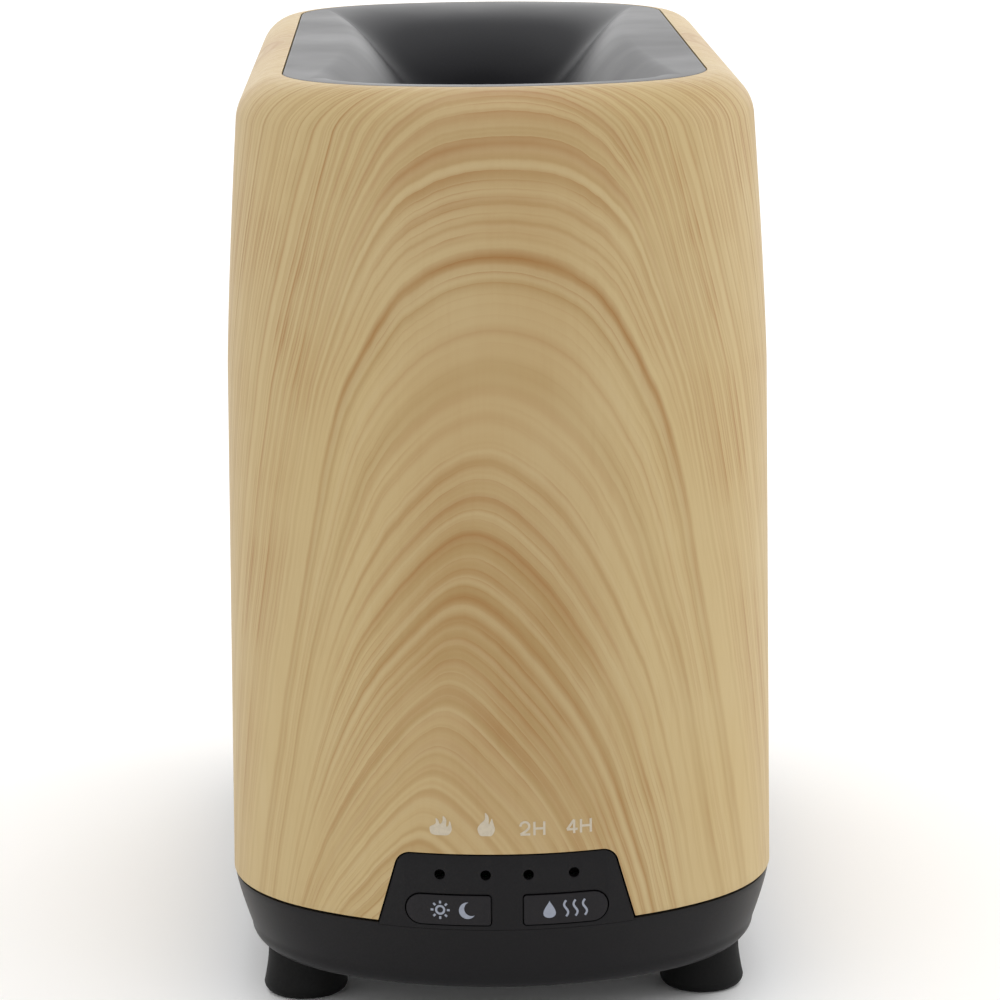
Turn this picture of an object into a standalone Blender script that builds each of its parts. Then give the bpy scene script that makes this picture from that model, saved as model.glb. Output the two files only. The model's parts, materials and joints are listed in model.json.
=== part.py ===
"""Essential oil diffuser: a wood-look cover over a water tank, on a black base with four rubber feet.

Units are metres, +Z is up, and the origin is on the surface it stands on, under the middle of the body.
The button face looks along -Y.
"""
import math

import bmesh
import bpy
from mathutils import Matrix, Vector

# Driving dimensions
WIDTH = 0.095
LENGTH = 0.200
HEIGHT = 0.161
END_RADIUS = 0.055          # bow of the front and rear ends, seen from above
CORNER_RADIUS = 0.0339
CORNER_SHRINK = 0.7         # how fast the corner radius shrinks as the outline is set in
ARC_STEPS = 4               # points along half an end
CORNER_STEPS = 5            # points round a corner
GAP = 0.0003                # clearance between touching pieces

SEAM_Z = 0.021
WALL = 0.0022
DRAFT = 0.010               # the cover's sides lean in by this much for each unit of height
SHOULDER_START = 0.090      # heights above the seam
SHOULDER_END = 0.132
SHOULDER_INSET = 0.0019
TOP_FILLET = 0.008

PAN_BOTTOM = 0.0085
PAN_FLOOR = 0.0107
FOOT_AT = (0.035, 0.0685)
FOOT_RADIUS = 0.00735
BASE_SCREW_AT = (0.034, 0.045)

SKIRT_INSET = 0.0035
TANK_WALL = 0.002
SKIRT_BOTTOM = 0.0185
TANK_UNDER = 0.056
TANK_FLOOR = 0.0582
TANK_TOP = 0.100
TOWER_Y = 0.055
LENS_Y = -0.048

MOUTH_HALF = 0.0265         # half-width of the dish's mouth, mid-length
MOUTH_SPREAD = 0.0210       # how much it opens towards the ends
DISH_DEPTH = 0.018
DISH_ROLL = 0.50            # how gently the dish's long sides roll in from the mouth
INSERT_SKIN = 0.002
SLOT_HALF = 0.012
SLOT_HALF_LENGTH = 0.058
THROAT_BOTTOM = 0.131
GUIDE_SCREW_Y = 0.070
DISH_STEPS = 7

PANEL_BOTTOM = 0.0203
PANEL_HEIGHT = 0.0130
PANEL_HALF_BOTTOM = 0.0217
PANEL_HALF_TOP = 0.0180
PANEL_CORNER = 0.0025
PANEL_THICK = 0.0020
BUTTON_LENGTH = 0.0142
BUTTON_HEIGHT = 0.0051
BUTTON_X = 0.0099
BUTTON_Z = 0.02375
BUTTON_GAP = 0.00035
LED_Z = SEAM_Z + 0.0089
LED_X = (-0.0113, -0.0036, 0.0036, 0.0113)
BOARD_FRONT_Y = -0.0890
FAN_HALF = 0.020
FAN_BOTTOM = 0.014
FAN_TOP = 0.024
FAN_HOLE_AT = 0.016
BOARD_Y = -0.022            # middle of the main board
BOARD_UNDER = 0.0170
BOARD_TOP = 0.0186
BOARD_HOLE_AT = (0.020, 0.044)
HEADER_X = (-0.009, -0.003, 0.003, 0.009)
JACK_Z = 0.0148
LEAD_RADIUS = 0.0008

CORNERS = ((-1, -1), (1, -1), (-1, 1), (1, 1))
FRONT_CUT = (-0.110, -0.080)    # from before the front face to well behind it

NAME = "essential_oil_diffuser"


def clear_scene():
    for item in list(bpy.data.objects):
        bpy.data.objects.remove(item, do_unlink=True)


def collection(name):
    made = bpy.data.collections.new(name)
    bpy.context.scene.collection.children.link(made)
    return made


def principled(name, colour, roughness, metallic=0.0, alpha=1.0):
    material = bpy.data.materials.new(name)
    material.use_nodes = True
    shader = material.node_tree.nodes["Principled BSDF"]
    shader.inputs["Base Color"].default_value = (*colour, 1.0)
    shader.inputs["Roughness"].default_value = roughness
    shader.inputs["Metallic"].default_value = metallic
    shader.inputs["Alpha"].default_value = alpha
    material.diffuse_color = (*colour, alpha)
    return material


def add_object(name, mesh, material, group):
    item = bpy.data.objects.new(name, mesh)
    group.objects.link(item)
    if material is not None:
        mesh.materials.append(material)
    return item


def smooth(item, angle=35):
    item.data.shade_smooth()
    item.data.set_sharp_from_angle(angle=math.radians(angle))
    return item


# ---- outlines --------------------------------------------------------------------------------

def body_outline(inset, arc_steps=ARC_STEPS, corner_steps=CORNER_STEPS):
    """The body's outline from above, set in by inset: bowed ends, round corners, straight sides."""
    half_w = WIDTH / 2 - inset
    half_l = LENGTH / 2 - inset
    corner = CORNER_RADIUS - CORNER_SHRINK * inset
    corner_x = half_w - corner
    bow_y = END_RADIUS - half_l
    corner_y = bow_y - math.sqrt((END_RADIUS - corner) ** 2 - corner_x ** 2)
    turn = math.atan2(corner_x, bow_y - corner_y)
    quarter = []
    for i in range(arc_steps):
        a = turn * i / arc_steps
        quarter.append((END_RADIUS * math.sin(a), bow_y - END_RADIUS * math.cos(a)))
    for i in range(corner_steps + 1):
        a = turn + (math.pi / 2 - turn) * i / corner_steps
        quarter.append((corner_x + corner * math.sin(a), corner_y - corner * math.cos(a)))
    right = quarter + [(x, -y) for x, y in reversed(quarter)]
    left = [(-x, y) for x, y in reversed(right[1:-1])]
    return right + left


def level(inset, z):
    return [Vector((x, y, z)) for x, y in body_outline(inset)]


def front_y(x, inset=0.0):
    """Where the bowed front lies at a given x."""
    return END_RADIUS - (LENGTH / 2 - inset) - math.sqrt(END_RADIUS ** 2 - x * x)


def cover_inset(z):
    """How far the cover's side is set in at height z: a slight draft, then a soft shoulder."""
    rise = z - SEAM_Z
    bend = max(0.0, rise - SHOULDER_START) / (SHOULDER_END - SHOULDER_START)
    return DRAFT * rise + SHOULDER_INSET * bend ** 1.3


def rounded_box_outline(half_x, half_y, radius, steps=4):
    points = []
    for quadrant, (sx, sy) in enumerate(((1, 1), (-1, 1), (-1, -1), (1, -1))):
        for i in range(steps + 1):
            a = math.pi / 2 * (quadrant + i / steps)
            x = sx * (half_x - radius) + radius * math.cos(a)
            y = sy * (half_y - radius) + radius * math.sin(a)
            points.append((x, y))
    return points


# ---- solids ----------------------------------------------------------------------------------

def loft(name, rings, material, group, capped=True):
    """Joins rings of equal count. Capped, it is a cup or bar; uncapped, the last ring meets the first."""
    mesh = bpy.data.meshes.new(name)
    bm = bmesh.new()
    made = [[bm.verts.new(p) for p in ring] for ring in rings]
    pairs = list(zip(made, made[1:]))
    if not capped:
        pairs.append((made[-1], made[0]))
    for low, high in pairs:
        count = len(low)
        for i in range(count):
            j = (i + 1) % count
            bm.faces.new((low[i], low[j], high[j], high[i]))
    if capped:
        bm.faces.new(list(reversed(made[0])))
        bm.faces.new(made[-1])
    bmesh.ops.recalc_face_normals(bm, faces=bm.faces)
    bm.to_mesh(mesh)
    bm.free()
    return smooth(add_object(name, mesh, material, group))


def box(name, low, high, material, group):
    mesh = bpy.data.meshes.new(name)
    bm = bmesh.new()
    bmesh.ops.create_cube(bm, size=1.0)
    low, high = Vector(low), Vector(high)
    for v in bm.verts:
        v.co = (low + high) / 2 + Vector(a * b for a, b in zip(v.co, high - low))
    bm.to_mesh(mesh)
    bm.free()
    return add_object(name, mesh, material, group)


def cylinder(name, radius, low, high, at, material, group, steps=20, axis="Z"):
    """A round bar from low to high along its axis, centred on at in the other two directions."""
    mesh = bpy.data.meshes.new(name)
    bm = bmesh.new()
    bmesh.ops.create_cone(bm, cap_ends=True, segments=steps, radius1=radius, radius2=radius,
                          depth=high - low)
    bmesh.ops.rotate(bm, verts=bm.verts, matrix=Matrix.Rotation(math.pi / steps, 3, "Z"))
    for v in bm.verts:
        along = v.co.z + (low + high) / 2
        if axis == "Z":
            v.co = Vector((at[0] + v.co.x, at[1] + v.co.y, along))
        else:
            v.co = Vector((at[0] + v.co.x, along, at[1] + v.co.y))
    bmesh.ops.recalc_face_normals(bm, faces=bm.faces)
    bm.to_mesh(mesh)
    bm.free()
    return smooth(add_object(name, mesh, material, group))


def turned(name, profile, at, material, group, steps=20, ring=False):
    """A profile of (radius, height) turned about Z at the point at. It runs top to bottom outside."""
    mesh = bpy.data.meshes.new(name)
    count = len(profile)
    edges = [(i, i + 1) for i in range(count - 1)]
    if ring:
        edges.append((count - 1, 0))
    mesh.from_pydata([(r, 0, z) for r, z in profile], edges, [])
    item = add_object(name, mesh, material, group)
    item.location = (at[0], at[1], at[2] if len(at) > 2 else 0)
    screw = item.modifiers.new("turn", "SCREW")
    screw.steps = steps
    screw.render_steps = steps
    screw.use_merge_vertices = True
    screw.merge_threshold = 0.00001
    screw.use_smooth_shade = True
    return item


def front_cutter(name, outline, group):
    """A flat outline in X and Z, drawn out along Y through the front face."""
    rings = [[Vector((x, y, z)) for x, z in outline] for y in FRONT_CUT]
    return loft(name, rings, None, group)


def front_box(name, half_x, low_z, high_z, back_y, group):
    return box(name, (-half_x, FRONT_CUT[0], low_z), (half_x, back_y, high_z), None, group)


def boolean(item, other, operation):
    modifier = item.modifiers.new(operation.lower(), "BOOLEAN")
    modifier.operation = operation
    modifier.solver = "EXACT"
    modifier.object = other
    other.hide_render = True
    other.display_type = "WIRE"
    return item


def cut(item, *tools):
    for tool in tools:
        boolean(item, tool, "DIFFERENCE")
    return item


def join(item, *tools):
    for tool in tools:
        boolean(item, tool, "UNION")
    return item


# ---- cover -----------------------------------------------------------------------------------

def fillet_levels(radius, steps):
    """(inset, z) round the cover's top edge, for a fillet of the given radius."""
    centre_z = HEIGHT - TOP_FILLET
    centre_inset = cover_inset(centre_z) + TOP_FILLET
    levels = []
    for i in range(steps + 1):
        a = math.pi / 2 * i / steps
        levels.append((centre_inset - radius * math.cos(a), centre_z + radius * math.sin(a)))
    return levels


def rim_inset():
    """How far in the cover's top opening is."""
    return cover_inset(HEIGHT - TOP_FILLET) + TOP_FILLET


def make_outer_shell(material, parts, tools):
    outside = [(cover_inset(z), z) for z in (SEAM_Z, 0.066, 0.111, 0.121, 0.132, 0.143)]
    outside += fillet_levels(TOP_FILLET, 4)
    inside = list(reversed(fillet_levels(TOP_FILLET - WALL, 3)))
    inside += [(cover_inset(z) + WALL, z) for z in (0.132, 0.111, SEAM_Z)]
    rings = [level(inset, z) for inset, z in outside + inside]
    shell = loft("outer_shell", rings, material, parts, capped=False)
    return cut(shell, front_cutter("panel_notch", panel_outline(GAP, SEAM_Z - 0.01), tools))


def mouth_half(y):
    """Half-width of the dish's mouth at y: an hourglass, narrowest mid-length."""
    return math.hypot(MOUTH_HALF, MOUTH_SPREAD * y / (LENGTH / 2 - rim_inset()))


def mouth_ring():
    """The dish's mouth: the insert's outline, drawn in to the hourglass along its sides."""
    lip = rim_inset() + 0.0015
    ring = []
    for x, y in body_outline(lip):
        limit = mouth_half(y)
        ring.append((max(-limit, min(limit, x)), y))
    return ring


def slot_ring(mouth, half_width, half_length):
    """Points of the slot that match the mouth's points: straight sides and round ends."""
    straight = half_length - half_width
    corner_y = max(abs(y) for x, y in mouth if abs(x) > mouth_half(y) * 0.999)
    ring = []
    for x, y in mouth:
        across = x / mouth_half(y)
        if abs(across) > 0.999:
            ring.append((math.copysign(half_width, x), y * straight / corner_y))
        else:
            end = straight + half_width * math.sqrt(1 - across * across)
            ring.append((half_width * across, math.copysign(end, y)))
    return ring


def dish_rings(half_width, half_length, top):
    """Rings from the mouth to the slot. The surface leaves the mouth level.

    The long sides roll over into straight slopes (a hyperbola), and the ends keep curving down until
    they are upright at the slot (an ellipse).
    """
    mouth = mouth_ring()
    slot = slot_ring(mouth, half_width, half_length)
    slope = math.hypot(1, DISH_ROLL) - DISH_ROLL
    rings = []
    for i in range(DISH_STEPS + 1):
        drop = (i / DISH_STEPS) ** 2
        across = math.sqrt((DISH_ROLL + drop * slope) ** 2 - DISH_ROLL ** 2)
        along = math.sqrt(1 - (1 - drop) ** 2)
        rings.append([Vector((mx + (sx - mx) * across, my + (sy - my) * along, top - DISH_DEPTH * drop))
                      for (mx, my), (sx, sy) in zip(mouth, slot)])
    return rings


def make_top_insert(material, parts, tools):
    edge = rim_inset() + GAP
    upper = dish_rings(SLOT_HALF, SLOT_HALF_LENGTH, HEIGHT)
    lower = dish_rings(SLOT_HALF + INSERT_SKIN, SLOT_HALF_LENGTH + INSERT_SKIN, HEIGHT - INSERT_SKIN)
    throat = [[Vector((p.x, p.y, THROAT_BOTTOM)) for p in ring] for ring in (upper[-1], lower[-1])]
    inner = edge + 0.0022
    outer = edge - 0.0009
    bottom = HEIGHT - 0.0041
    step = HEIGHT - WALL - GAP
    lip = 0.0004
    flange = [(inner, HEIGHT - INSERT_SKIN), (inner, bottom), (outer, bottom), (outer, step), (edge, step),
              (edge, HEIGHT - lip), (edge + lip, HEIGHT)]
    rings = upper + throat + list(reversed(lower[1:])) + [level(inset, z) for inset, z in flange]
    insert = loft("top_insert", rings, material, parts, capped=False)
    for side in (-1, 1):
        at = (0, side * GUIDE_SCREW_Y)
        boss = cylinder(f"guide_boss{side}", 0.0028, 0.1412, 0.1555, at, None, tools, 12)
        pilot = cylinder(f"guide_pilot{side}", 0.0013, 0.140, 0.150, at, None, tools, 8)
        join(insert, boss)
        cut(insert, pilot)
    return insert


def stadium(half_width, half_length, z, steps=6):
    ring = []
    for side in (1, -1):
        for i in range(2 * steps + 1):
            a = math.pi * i / (2 * steps) - (0 if side > 0 else math.pi)
            x = half_width * math.cos(a)
            y = side * (half_length - half_width) + half_width * math.sin(a)
            ring.append(Vector((x, y, z)))
    return ring


def make_mist_guide(material, parts, tools):
    shoulder = THROAT_BOTTOM + 0.0096
    neck = (SLOT_HALF + 0.0024, SLOT_HALF_LENGTH + 0.0024)
    flange = (SLOT_HALF + 0.0070, 0.076)
    sizes = [(*neck, shoulder), (*flange, shoulder), (*flange, shoulder - 0.0016),
             (SLOT_HALF + 0.0042, 0.0624, shoulder - 0.0016), (SLOT_HALF + 0.0060, 0.066, 0.129),
             (0.025, 0.080, 0.112), (0.0234, 0.0784, 0.112), (SLOT_HALF + 0.0044, 0.0644, 0.129),
             (*neck, shoulder - 0.003)]
    guide = loft("mist_guide", [stadium(*size) for size in sizes], material, parts, capped=False)
    for side in (-1, 1):
        at = (0, side * GUIDE_SCREW_Y)
        cut(guide, cylinder(f"guide_hole{side}", 0.0016, 0.130, 0.145, at, None, tools, 12))
    return guide


def screw(name, at, head_z, head_radius, shank_radius, shank_length, material, parts, up=True):
    """A pan-head screw. Its head sits at head_z and its shank points up, or down if up is false."""
    turn = 1 if up else -1
    head = head_radius * 0.75
    tip = 0.0008
    profile = [(0, shank_length), (shank_radius, shank_length - tip), (shank_radius, 0), (head_radius, 0),
               (head_radius * 0.8, -head), (0, -head)]
    profile = [(r, head_z + turn * z) for r, z in profile]
    if not up:
        profile.reverse()
    return turned(name, profile, at, material, parts, steps=10)


# ---- base pan and feet -----------------------------------------------------------------------

def pan_inset(z):
    """How far the pan's side is set in: it leaves the seam upright and curves under."""
    drop = (SEAM_Z - z) / 0.011
    return 0.0002 + 0.0033 * drop ** 1.25


def slot_cutter(name, x, y, half_x, half_y, tools):
    outline = rounded_box_outline(half_x, half_y, half_x * 0.95, 1)
    rings = [[Vector((x + px, y + py, z)) for px, py in outline] for z in (0.006, 0.013)]
    return loft(name, rings, None, tools)


def base_screw_at(sx, sy):
    return (sx * BASE_SCREW_AT[0], sy * BASE_SCREW_AT[1])


def foot_at(sx, sy):
    return (sx * FOOT_AT[0], sy * FOOT_AT[1])


def board_hole_at(sx, sy):
    return (sx * BOARD_HOLE_AT[0], BOARD_Y + sy * BOARD_HOLE_AT[1])


def fan_hole_at(sx, sy):
    return (sx * FAN_HOLE_AT, TOWER_Y + sy * FAN_HOLE_AT)


def make_base_pan(material, parts, tools):
    rim = 0.003
    rim_z = 0.0115
    rim_centre = pan_inset(rim_z) + rim
    top = SEAM_Z - GAP
    levels = []
    for i in range(3):
        a = math.pi / 2 * i / 3
        levels.append((rim_centre - rim * math.sin(a), rim_z - rim * math.cos(a)))
    levels += [(pan_inset(z), z) for z in (rim_z, 0.0145, 0.0175, top)]
    levels += [(pan_inset(z) + WALL, z) for z in (top, 0.0145)]
    levels.append((pan_inset(rim_z) + 0.0035, PAN_FLOOR))
    pan = loft("base_pan", [level(inset, z) for inset, z in levels], material, parts)
    root = PAN_FLOOR - 0.001
    for i, (sx, sy) in enumerate(CORNERS):
        at = base_screw_at(sx, sy)
        join(pan, cylinder(f"pan_boss{i}", 0.0045, root, 0.0190, at, None, tools, 12))
        cut(pan, cylinder(f"pan_counterbore{i}", 0.0034, 0.006, 0.0160, at, None, tools, 12))
        cut(pan, cylinder(f"pan_clear{i}", 0.0017, 0.015, 0.021, at, None, tools, 8))
        cut(pan, cylinder(f"stem_hole{i}", 0.0028, 0.006, 0.013, foot_at(sx, sy), None, tools, 12))
        post = board_hole_at(sx, sy)
        join(pan, cylinder(f"board_post{i}", 0.003, root, BOARD_UNDER - GAP, post, None, tools, 8))
        cut(pan, cylinder(f"board_pilot{i}", 0.0011, 0.0120, 0.018, post, None, tools, 8))
        post = fan_hole_at(sx, sy)
        join(pan, cylinder(f"fan_post{i}", 0.0035, root, FAN_BOTTOM - GAP, post, None, tools, 8))
    for i, side in enumerate((-1, 1)):
        cut(pan, cylinder(f"fan_pilot{i}", 0.0011, 0.0115, 0.015, fan_hole_at(side, side), None, tools, 8))
    vent_pitch = 0.0042
    vent_reach = 0.0155
    for i in range(7):
        x = (i - 3) * vent_pitch
        cut(pan, slot_cutter(f"vent{i}", x, TOWER_Y, 0.0012, math.sqrt(vent_reach ** 2 - x * x), tools))
    cut(pan, cylinder("jack_hole", 0.0038, 0.092, 0.105, (0, JACK_Z), None, tools, 24, axis="Y"))
    notch_half = PANEL_HALF_BOTTOM + 0.0012
    return cut(pan, front_box("pan_notch", notch_half, PANEL_BOTTOM - GAP, 0.03, FRONT_CUT[1], tools))


def make_foot(name, at, material, parts):
    top = PAN_BOTTOM - GAP
    bottom = 0.0017
    profile = [(0, 0.0122), (0.0019, 0.0122), (0.0025, 0.0112), (0.0025, top)]
    profile += [(0.0062, top), (0.0065, top - 0.0004), (0.0067, 0.0050), (0.0070, 0.0032)]
    for i in range(4):
        a = math.pi / 2 * i / 3
        profile.append((FOOT_RADIUS - bottom + bottom * math.cos(a), bottom - bottom * math.sin(a)))
    profile.append((0, 0))
    return turned(name, profile, at, material, parts, steps=20)


# ---- tank ------------------------------------------------------------------------------------

def make_tank_body(material, parts, tools):
    inner = SKIRT_INSET + TANK_WALL
    levels = [(inner, TANK_UNDER), (inner, SKIRT_BOTTOM), (SKIRT_INSET, SKIRT_BOTTOM),
              (SKIRT_INSET, TANK_TOP - 0.0006), (SKIRT_INSET + 0.0006, TANK_TOP),
              (inner, TANK_TOP), (inner, TANK_FLOOR)]
    tank = loft("tank_body", [level(i, z) for i, z in levels], material, parts)
    for i, (sx, sy) in enumerate(CORNERS):
        at = base_screw_at(sx, sy)
        join(tank, cylinder(f"tank_boss{i}", 0.0038, 0.0194, TANK_UNDER + 0.001, at, None, tools, 12))
        cut(tank, cylinder(f"tank_pilot{i}", 0.0014, 0.018, 0.033, at, None, tools, 8))
    join(tank, cylinder("tower", 0.014, TANK_UNDER + 0.001, 0.104, (0, TOWER_Y), None, tools, 24))
    cut(tank, cylinder("tower_bore", 0.012, 0.050, 0.110, (0, TOWER_Y), None, tools, 24))
    join(tank, cylinder("mist_well", 0.0155, 0.049, TANK_UNDER + 0.001, (0, 0), None, tools, 20))
    cut(tank, cylinder("mist_seat", 0.0122, 0.045, TANK_UNDER - 0.0002, (0, 0), None, tools, 20))
    cut(tank, cylinder("mist_port", 0.0085, 0.054, 0.060, (0, 0), None, tools, 20))
    cut(tank, cylinder("lens_port", 0.0112, 0.054, 0.060, (0, LENS_Y), None, tools, 20))
    for i, side in enumerate((-1, 1)):
        at = (side * 0.0165, LENS_Y)
        join(tank, cylinder(f"lamp_boss{i}", 0.0028, 0.0487, TANK_UNDER + 0.001, at, None, tools, 8))
        cut(tank, cylinder(f"lamp_pilot{i}", 0.0010, 0.047, 0.0545, at, None, tools, 8))
    return cut(tank, front_box("control_window", 0.0195, PANEL_BOTTOM + GAP, 0.0322, -0.086, tools))


def make_transducer(ceramic, rubber, plastic, parts):
    seal = [(0.0117, 0.0555), (0.0117, 0.0533), (0.0104, 0.0533), (0.0104, 0.0543), (0.0085, 0.0543),
            (0.0085, 0.0555)]
    disc = [(0, 0.0540), (0.0097, 0.0540), (0.0100, 0.0537), (0.0100, 0.0533), (0, 0.0533)]
    retainer = [(0.0115, 0.0530), (0.0115, 0.0487), (0.0150, 0.0487), (0.0150, 0.0470), (0.0085, 0.0470),
                (0.0085, 0.0530)]
    turned("transducer_seal", seal, (0, 0), rubber, parts, ring=True)
    turned("transducer_disc", disc, (0, 0), ceramic, parts)
    turned("transducer_retainer", retainer, (0, 0), plastic, parts, ring=True)


def make_lamp(clear, board, metal, parts, tools):
    lens = [(0, 0.0586), (0.0100, 0.0582), (0.0108, 0.0574), (0.0108, 0.0557), (0.0128, 0.0557),
            (0.0128, 0.0542), (0, 0.0542)]
    turned("light_lens", lens, (0, LENS_Y), clear, parts)
    lamp = box("lamp_board", (-0.020, LENS_Y - 0.013, 0.0472), (0.020, LENS_Y + 0.013, 0.0484), board, parts)
    chip_ring = 0.007
    chip_half = 0.0014
    for i in range(6):
        a = math.pi / 3 * i
        x = chip_ring * math.cos(a)
        y = LENS_Y + chip_ring * math.sin(a)
        low = (x - chip_half, y - chip_half, 0.0480)
        join(lamp, box(f"lamp_chip{i}", low, (x + chip_half, y + chip_half, 0.0494), None, tools))
    for i, side in enumerate((-1, 1)):
        at = (side * 0.0165, LENS_Y)
        cut(lamp, cylinder(f"lamp_hole{i}", 0.0013, 0.046, 0.050, at, None, tools, 12))
        screw(f"lamp_screw_{i + 1}", at, 0.0469, 0.0019, 0.0008, 0.0060, metal, parts)


# ---- fan -------------------------------------------------------------------------------------

def make_fan(plastic, metal, parts, tools):
    at = (0, TOWER_Y)
    low = (-FAN_HALF, TOWER_Y - FAN_HALF, FAN_BOTTOM)
    housing = box("fan_housing", low, (FAN_HALF, TOWER_Y + FAN_HALF, FAN_TOP), plastic, parts)
    cut(housing, cylinder("fan_bore", 0.0186, 0.010, 0.030, at, None, tools, 32))
    for i, (half_x, half_y) in enumerate(((0.0190, 0.001), (0.001, 0.0190))):
        lift = 0.0001 * (i + 1)
        low = (-half_x, TOWER_Y - half_y, FAN_BOTTOM + lift)
        join(housing, box(f"fan_strut{i}", low, (half_x, TOWER_Y + half_y, 0.0151 + lift), None, tools))
    join(housing, cylinder("fan_motor_plate", 0.0075, FAN_BOTTOM + 0.0003, 0.0155, at, None, tools, 20))
    for i, side in enumerate((-1, 1)):
        corner = fan_hole_at(side, side)
        cut(housing, cylinder(f"fan_hole{i}", 0.0016, 0.010, 0.030, corner, None, tools, 12))
        screw(f"fan_screw_{i + 1}", corner, FAN_TOP + GAP, 0.0026, 0.0008, 0.0121, metal, parts, up=False)
    rotor = cylinder("fan_rotor", 0.0090, 0.0160, 0.0232, (0, 0), plastic, parts, 24)
    rotor.location = (0, TOWER_Y, 0)
    for i in range(7):
        blade = box(f"blade{i}", (0.0080, -0.0045, -0.0005), (0.0178, 0.0045, 0.0005), None, tools)
        blade.rotation_mode = "XYZ"
        blade.rotation_euler = (math.radians(38), 0, math.tau * i / 7)
        blade.location = (0, TOWER_Y, 0.0196)
        join(rotor, blade)
    duct = [(0.0140, 0.0557), (0.0140, 0.0440), (0.0196, 0.0300), (0.0196, 0.0243), (0.0182, 0.0243),
            (0.0182, 0.0300), (0.0126, 0.0440), (0.0126, 0.0557)]
    turned("air_duct", duct, at, plastic, parts, ring=True)


# ---- main board ------------------------------------------------------------------------------

def make_main_board(board, metal, copper, black, parts, tools):
    plate = box("main_board", (-0.024, BOARD_Y - 0.050, BOARD_UNDER), (0.024, BOARD_Y + 0.050, BOARD_TOP),
                board, parts)
    part_low = BOARD_TOP + GAP
    for i, (sx, sy) in enumerate(CORNERS):
        at = board_hole_at(sx, sy)
        cut(plate, cylinder(f"board_hole{i}", 0.0013, 0.015, 0.020, at, None, tools, 12))
        screw(f"board_screw_{i + 1}", at, part_low, 0.0022, 0.0008, 0.0062, metal, parts, up=False)
    sink = box("heat_sink", (-0.018, -0.050, part_low), (0.002, -0.028, part_low + 0.003), metal, parts)
    fin_pitch = 0.0036
    for i in range(6):
        x = -0.0179 + fin_pitch * i
        low = (x, -0.0499, part_low + 0.002)
        join(sink, box(f"fin{i}", low, (x + 0.0014, -0.0281, part_low + 0.016), None, tools))
    bobbin = [(0, 0.0300), (0.0058, 0.0300), (0.0060, 0.0296), (0.0060, 0.0280), (0.0050, 0.0272),
              (0.0050, 0.0212), (0.0060, 0.0204), (0.0060, part_low), (0, part_low)]
    turned("inductor", bobbin, (0.013, -0.040), copper, parts)
    can = [(0, 0.0330), (0.0035, 0.0330), (0.0040, 0.0325), (0.0040, 0.0205), (0.0037, 0.0201),
           (0.0040, 0.0197), (0.0040, part_low), (0, part_low)]
    turned("capacitor", can, (0.014, -0.056), black, parts)
    header = box("wire_header", (-0.012, 0.004, part_low), (0.012, 0.010, part_low + 0.006), black, parts)
    for i, x in enumerate(HEADER_X):
        low = (x - 0.0018, 0.0025, part_low + 0.0014)
        cut(header, box(f"header_socket{i}", low, (x + 0.0018, 0.0085, part_low + 0.0046), None, tools))


def make_power_jack(material, metal, parts, tools):
    at = (0, JACK_Z)
    jack = box("power_jack", (-0.0045, 0.083, 0.0112), (0.0045, 0.0928, 0.0195), material, parts)
    join(jack, cylinder("jack_nose", 0.0035, 0.0920, 0.0972, at, None, tools, 24, axis="Y"))
    cut(jack, cylinder("jack_bore", 0.0027, 0.0870, 0.1000, at, None, tools, 24, axis="Y"))
    cylinder("jack_pin", 0.0010, 0.0873, 0.0965, at, metal, parts, 12, axis="Y")


# ---- leads -----------------------------------------------------------------------------------

def smooth_route(points, steps=3):
    """Points along a smooth curve that passes through the given ones."""
    points = [Vector(p) for p in points]
    ends = [2 * points[0] - points[1]] + points + [2 * points[-1] - points[-2]]
    route = []
    for a, b, c, d in zip(ends, ends[1:], ends[2:], ends[3:]):
        for i in range(steps):
            t = i / steps
            bend = (2 * a - 5 * b + 4 * c - d) * t * t + (3 * b - a - 3 * c + d) * t ** 3
            route.append((2 * b + (c - a) * t + bend) / 2)
    return route + [points[-1]]


def make_lead(name, points, material, parts):
    """A two-core lead as one tube, from a header socket or the jack to what it feeds."""
    route = smooth_route(points)
    curve = bpy.data.curves.new(name, "CURVE")
    curve.dimensions = "3D"
    curve.bevel_depth = LEAD_RADIUS
    curve.bevel_resolution = 2
    curve.use_fill_caps = True
    curve.materials.append(material)
    spline = curve.splines.new("POLY")
    spline.points.add(len(route) - 1)
    for point, at in zip(spline.points, route):
        point.co = (*at, 1)
    parts.objects.link(bpy.data.objects.new(name, curve))


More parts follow.
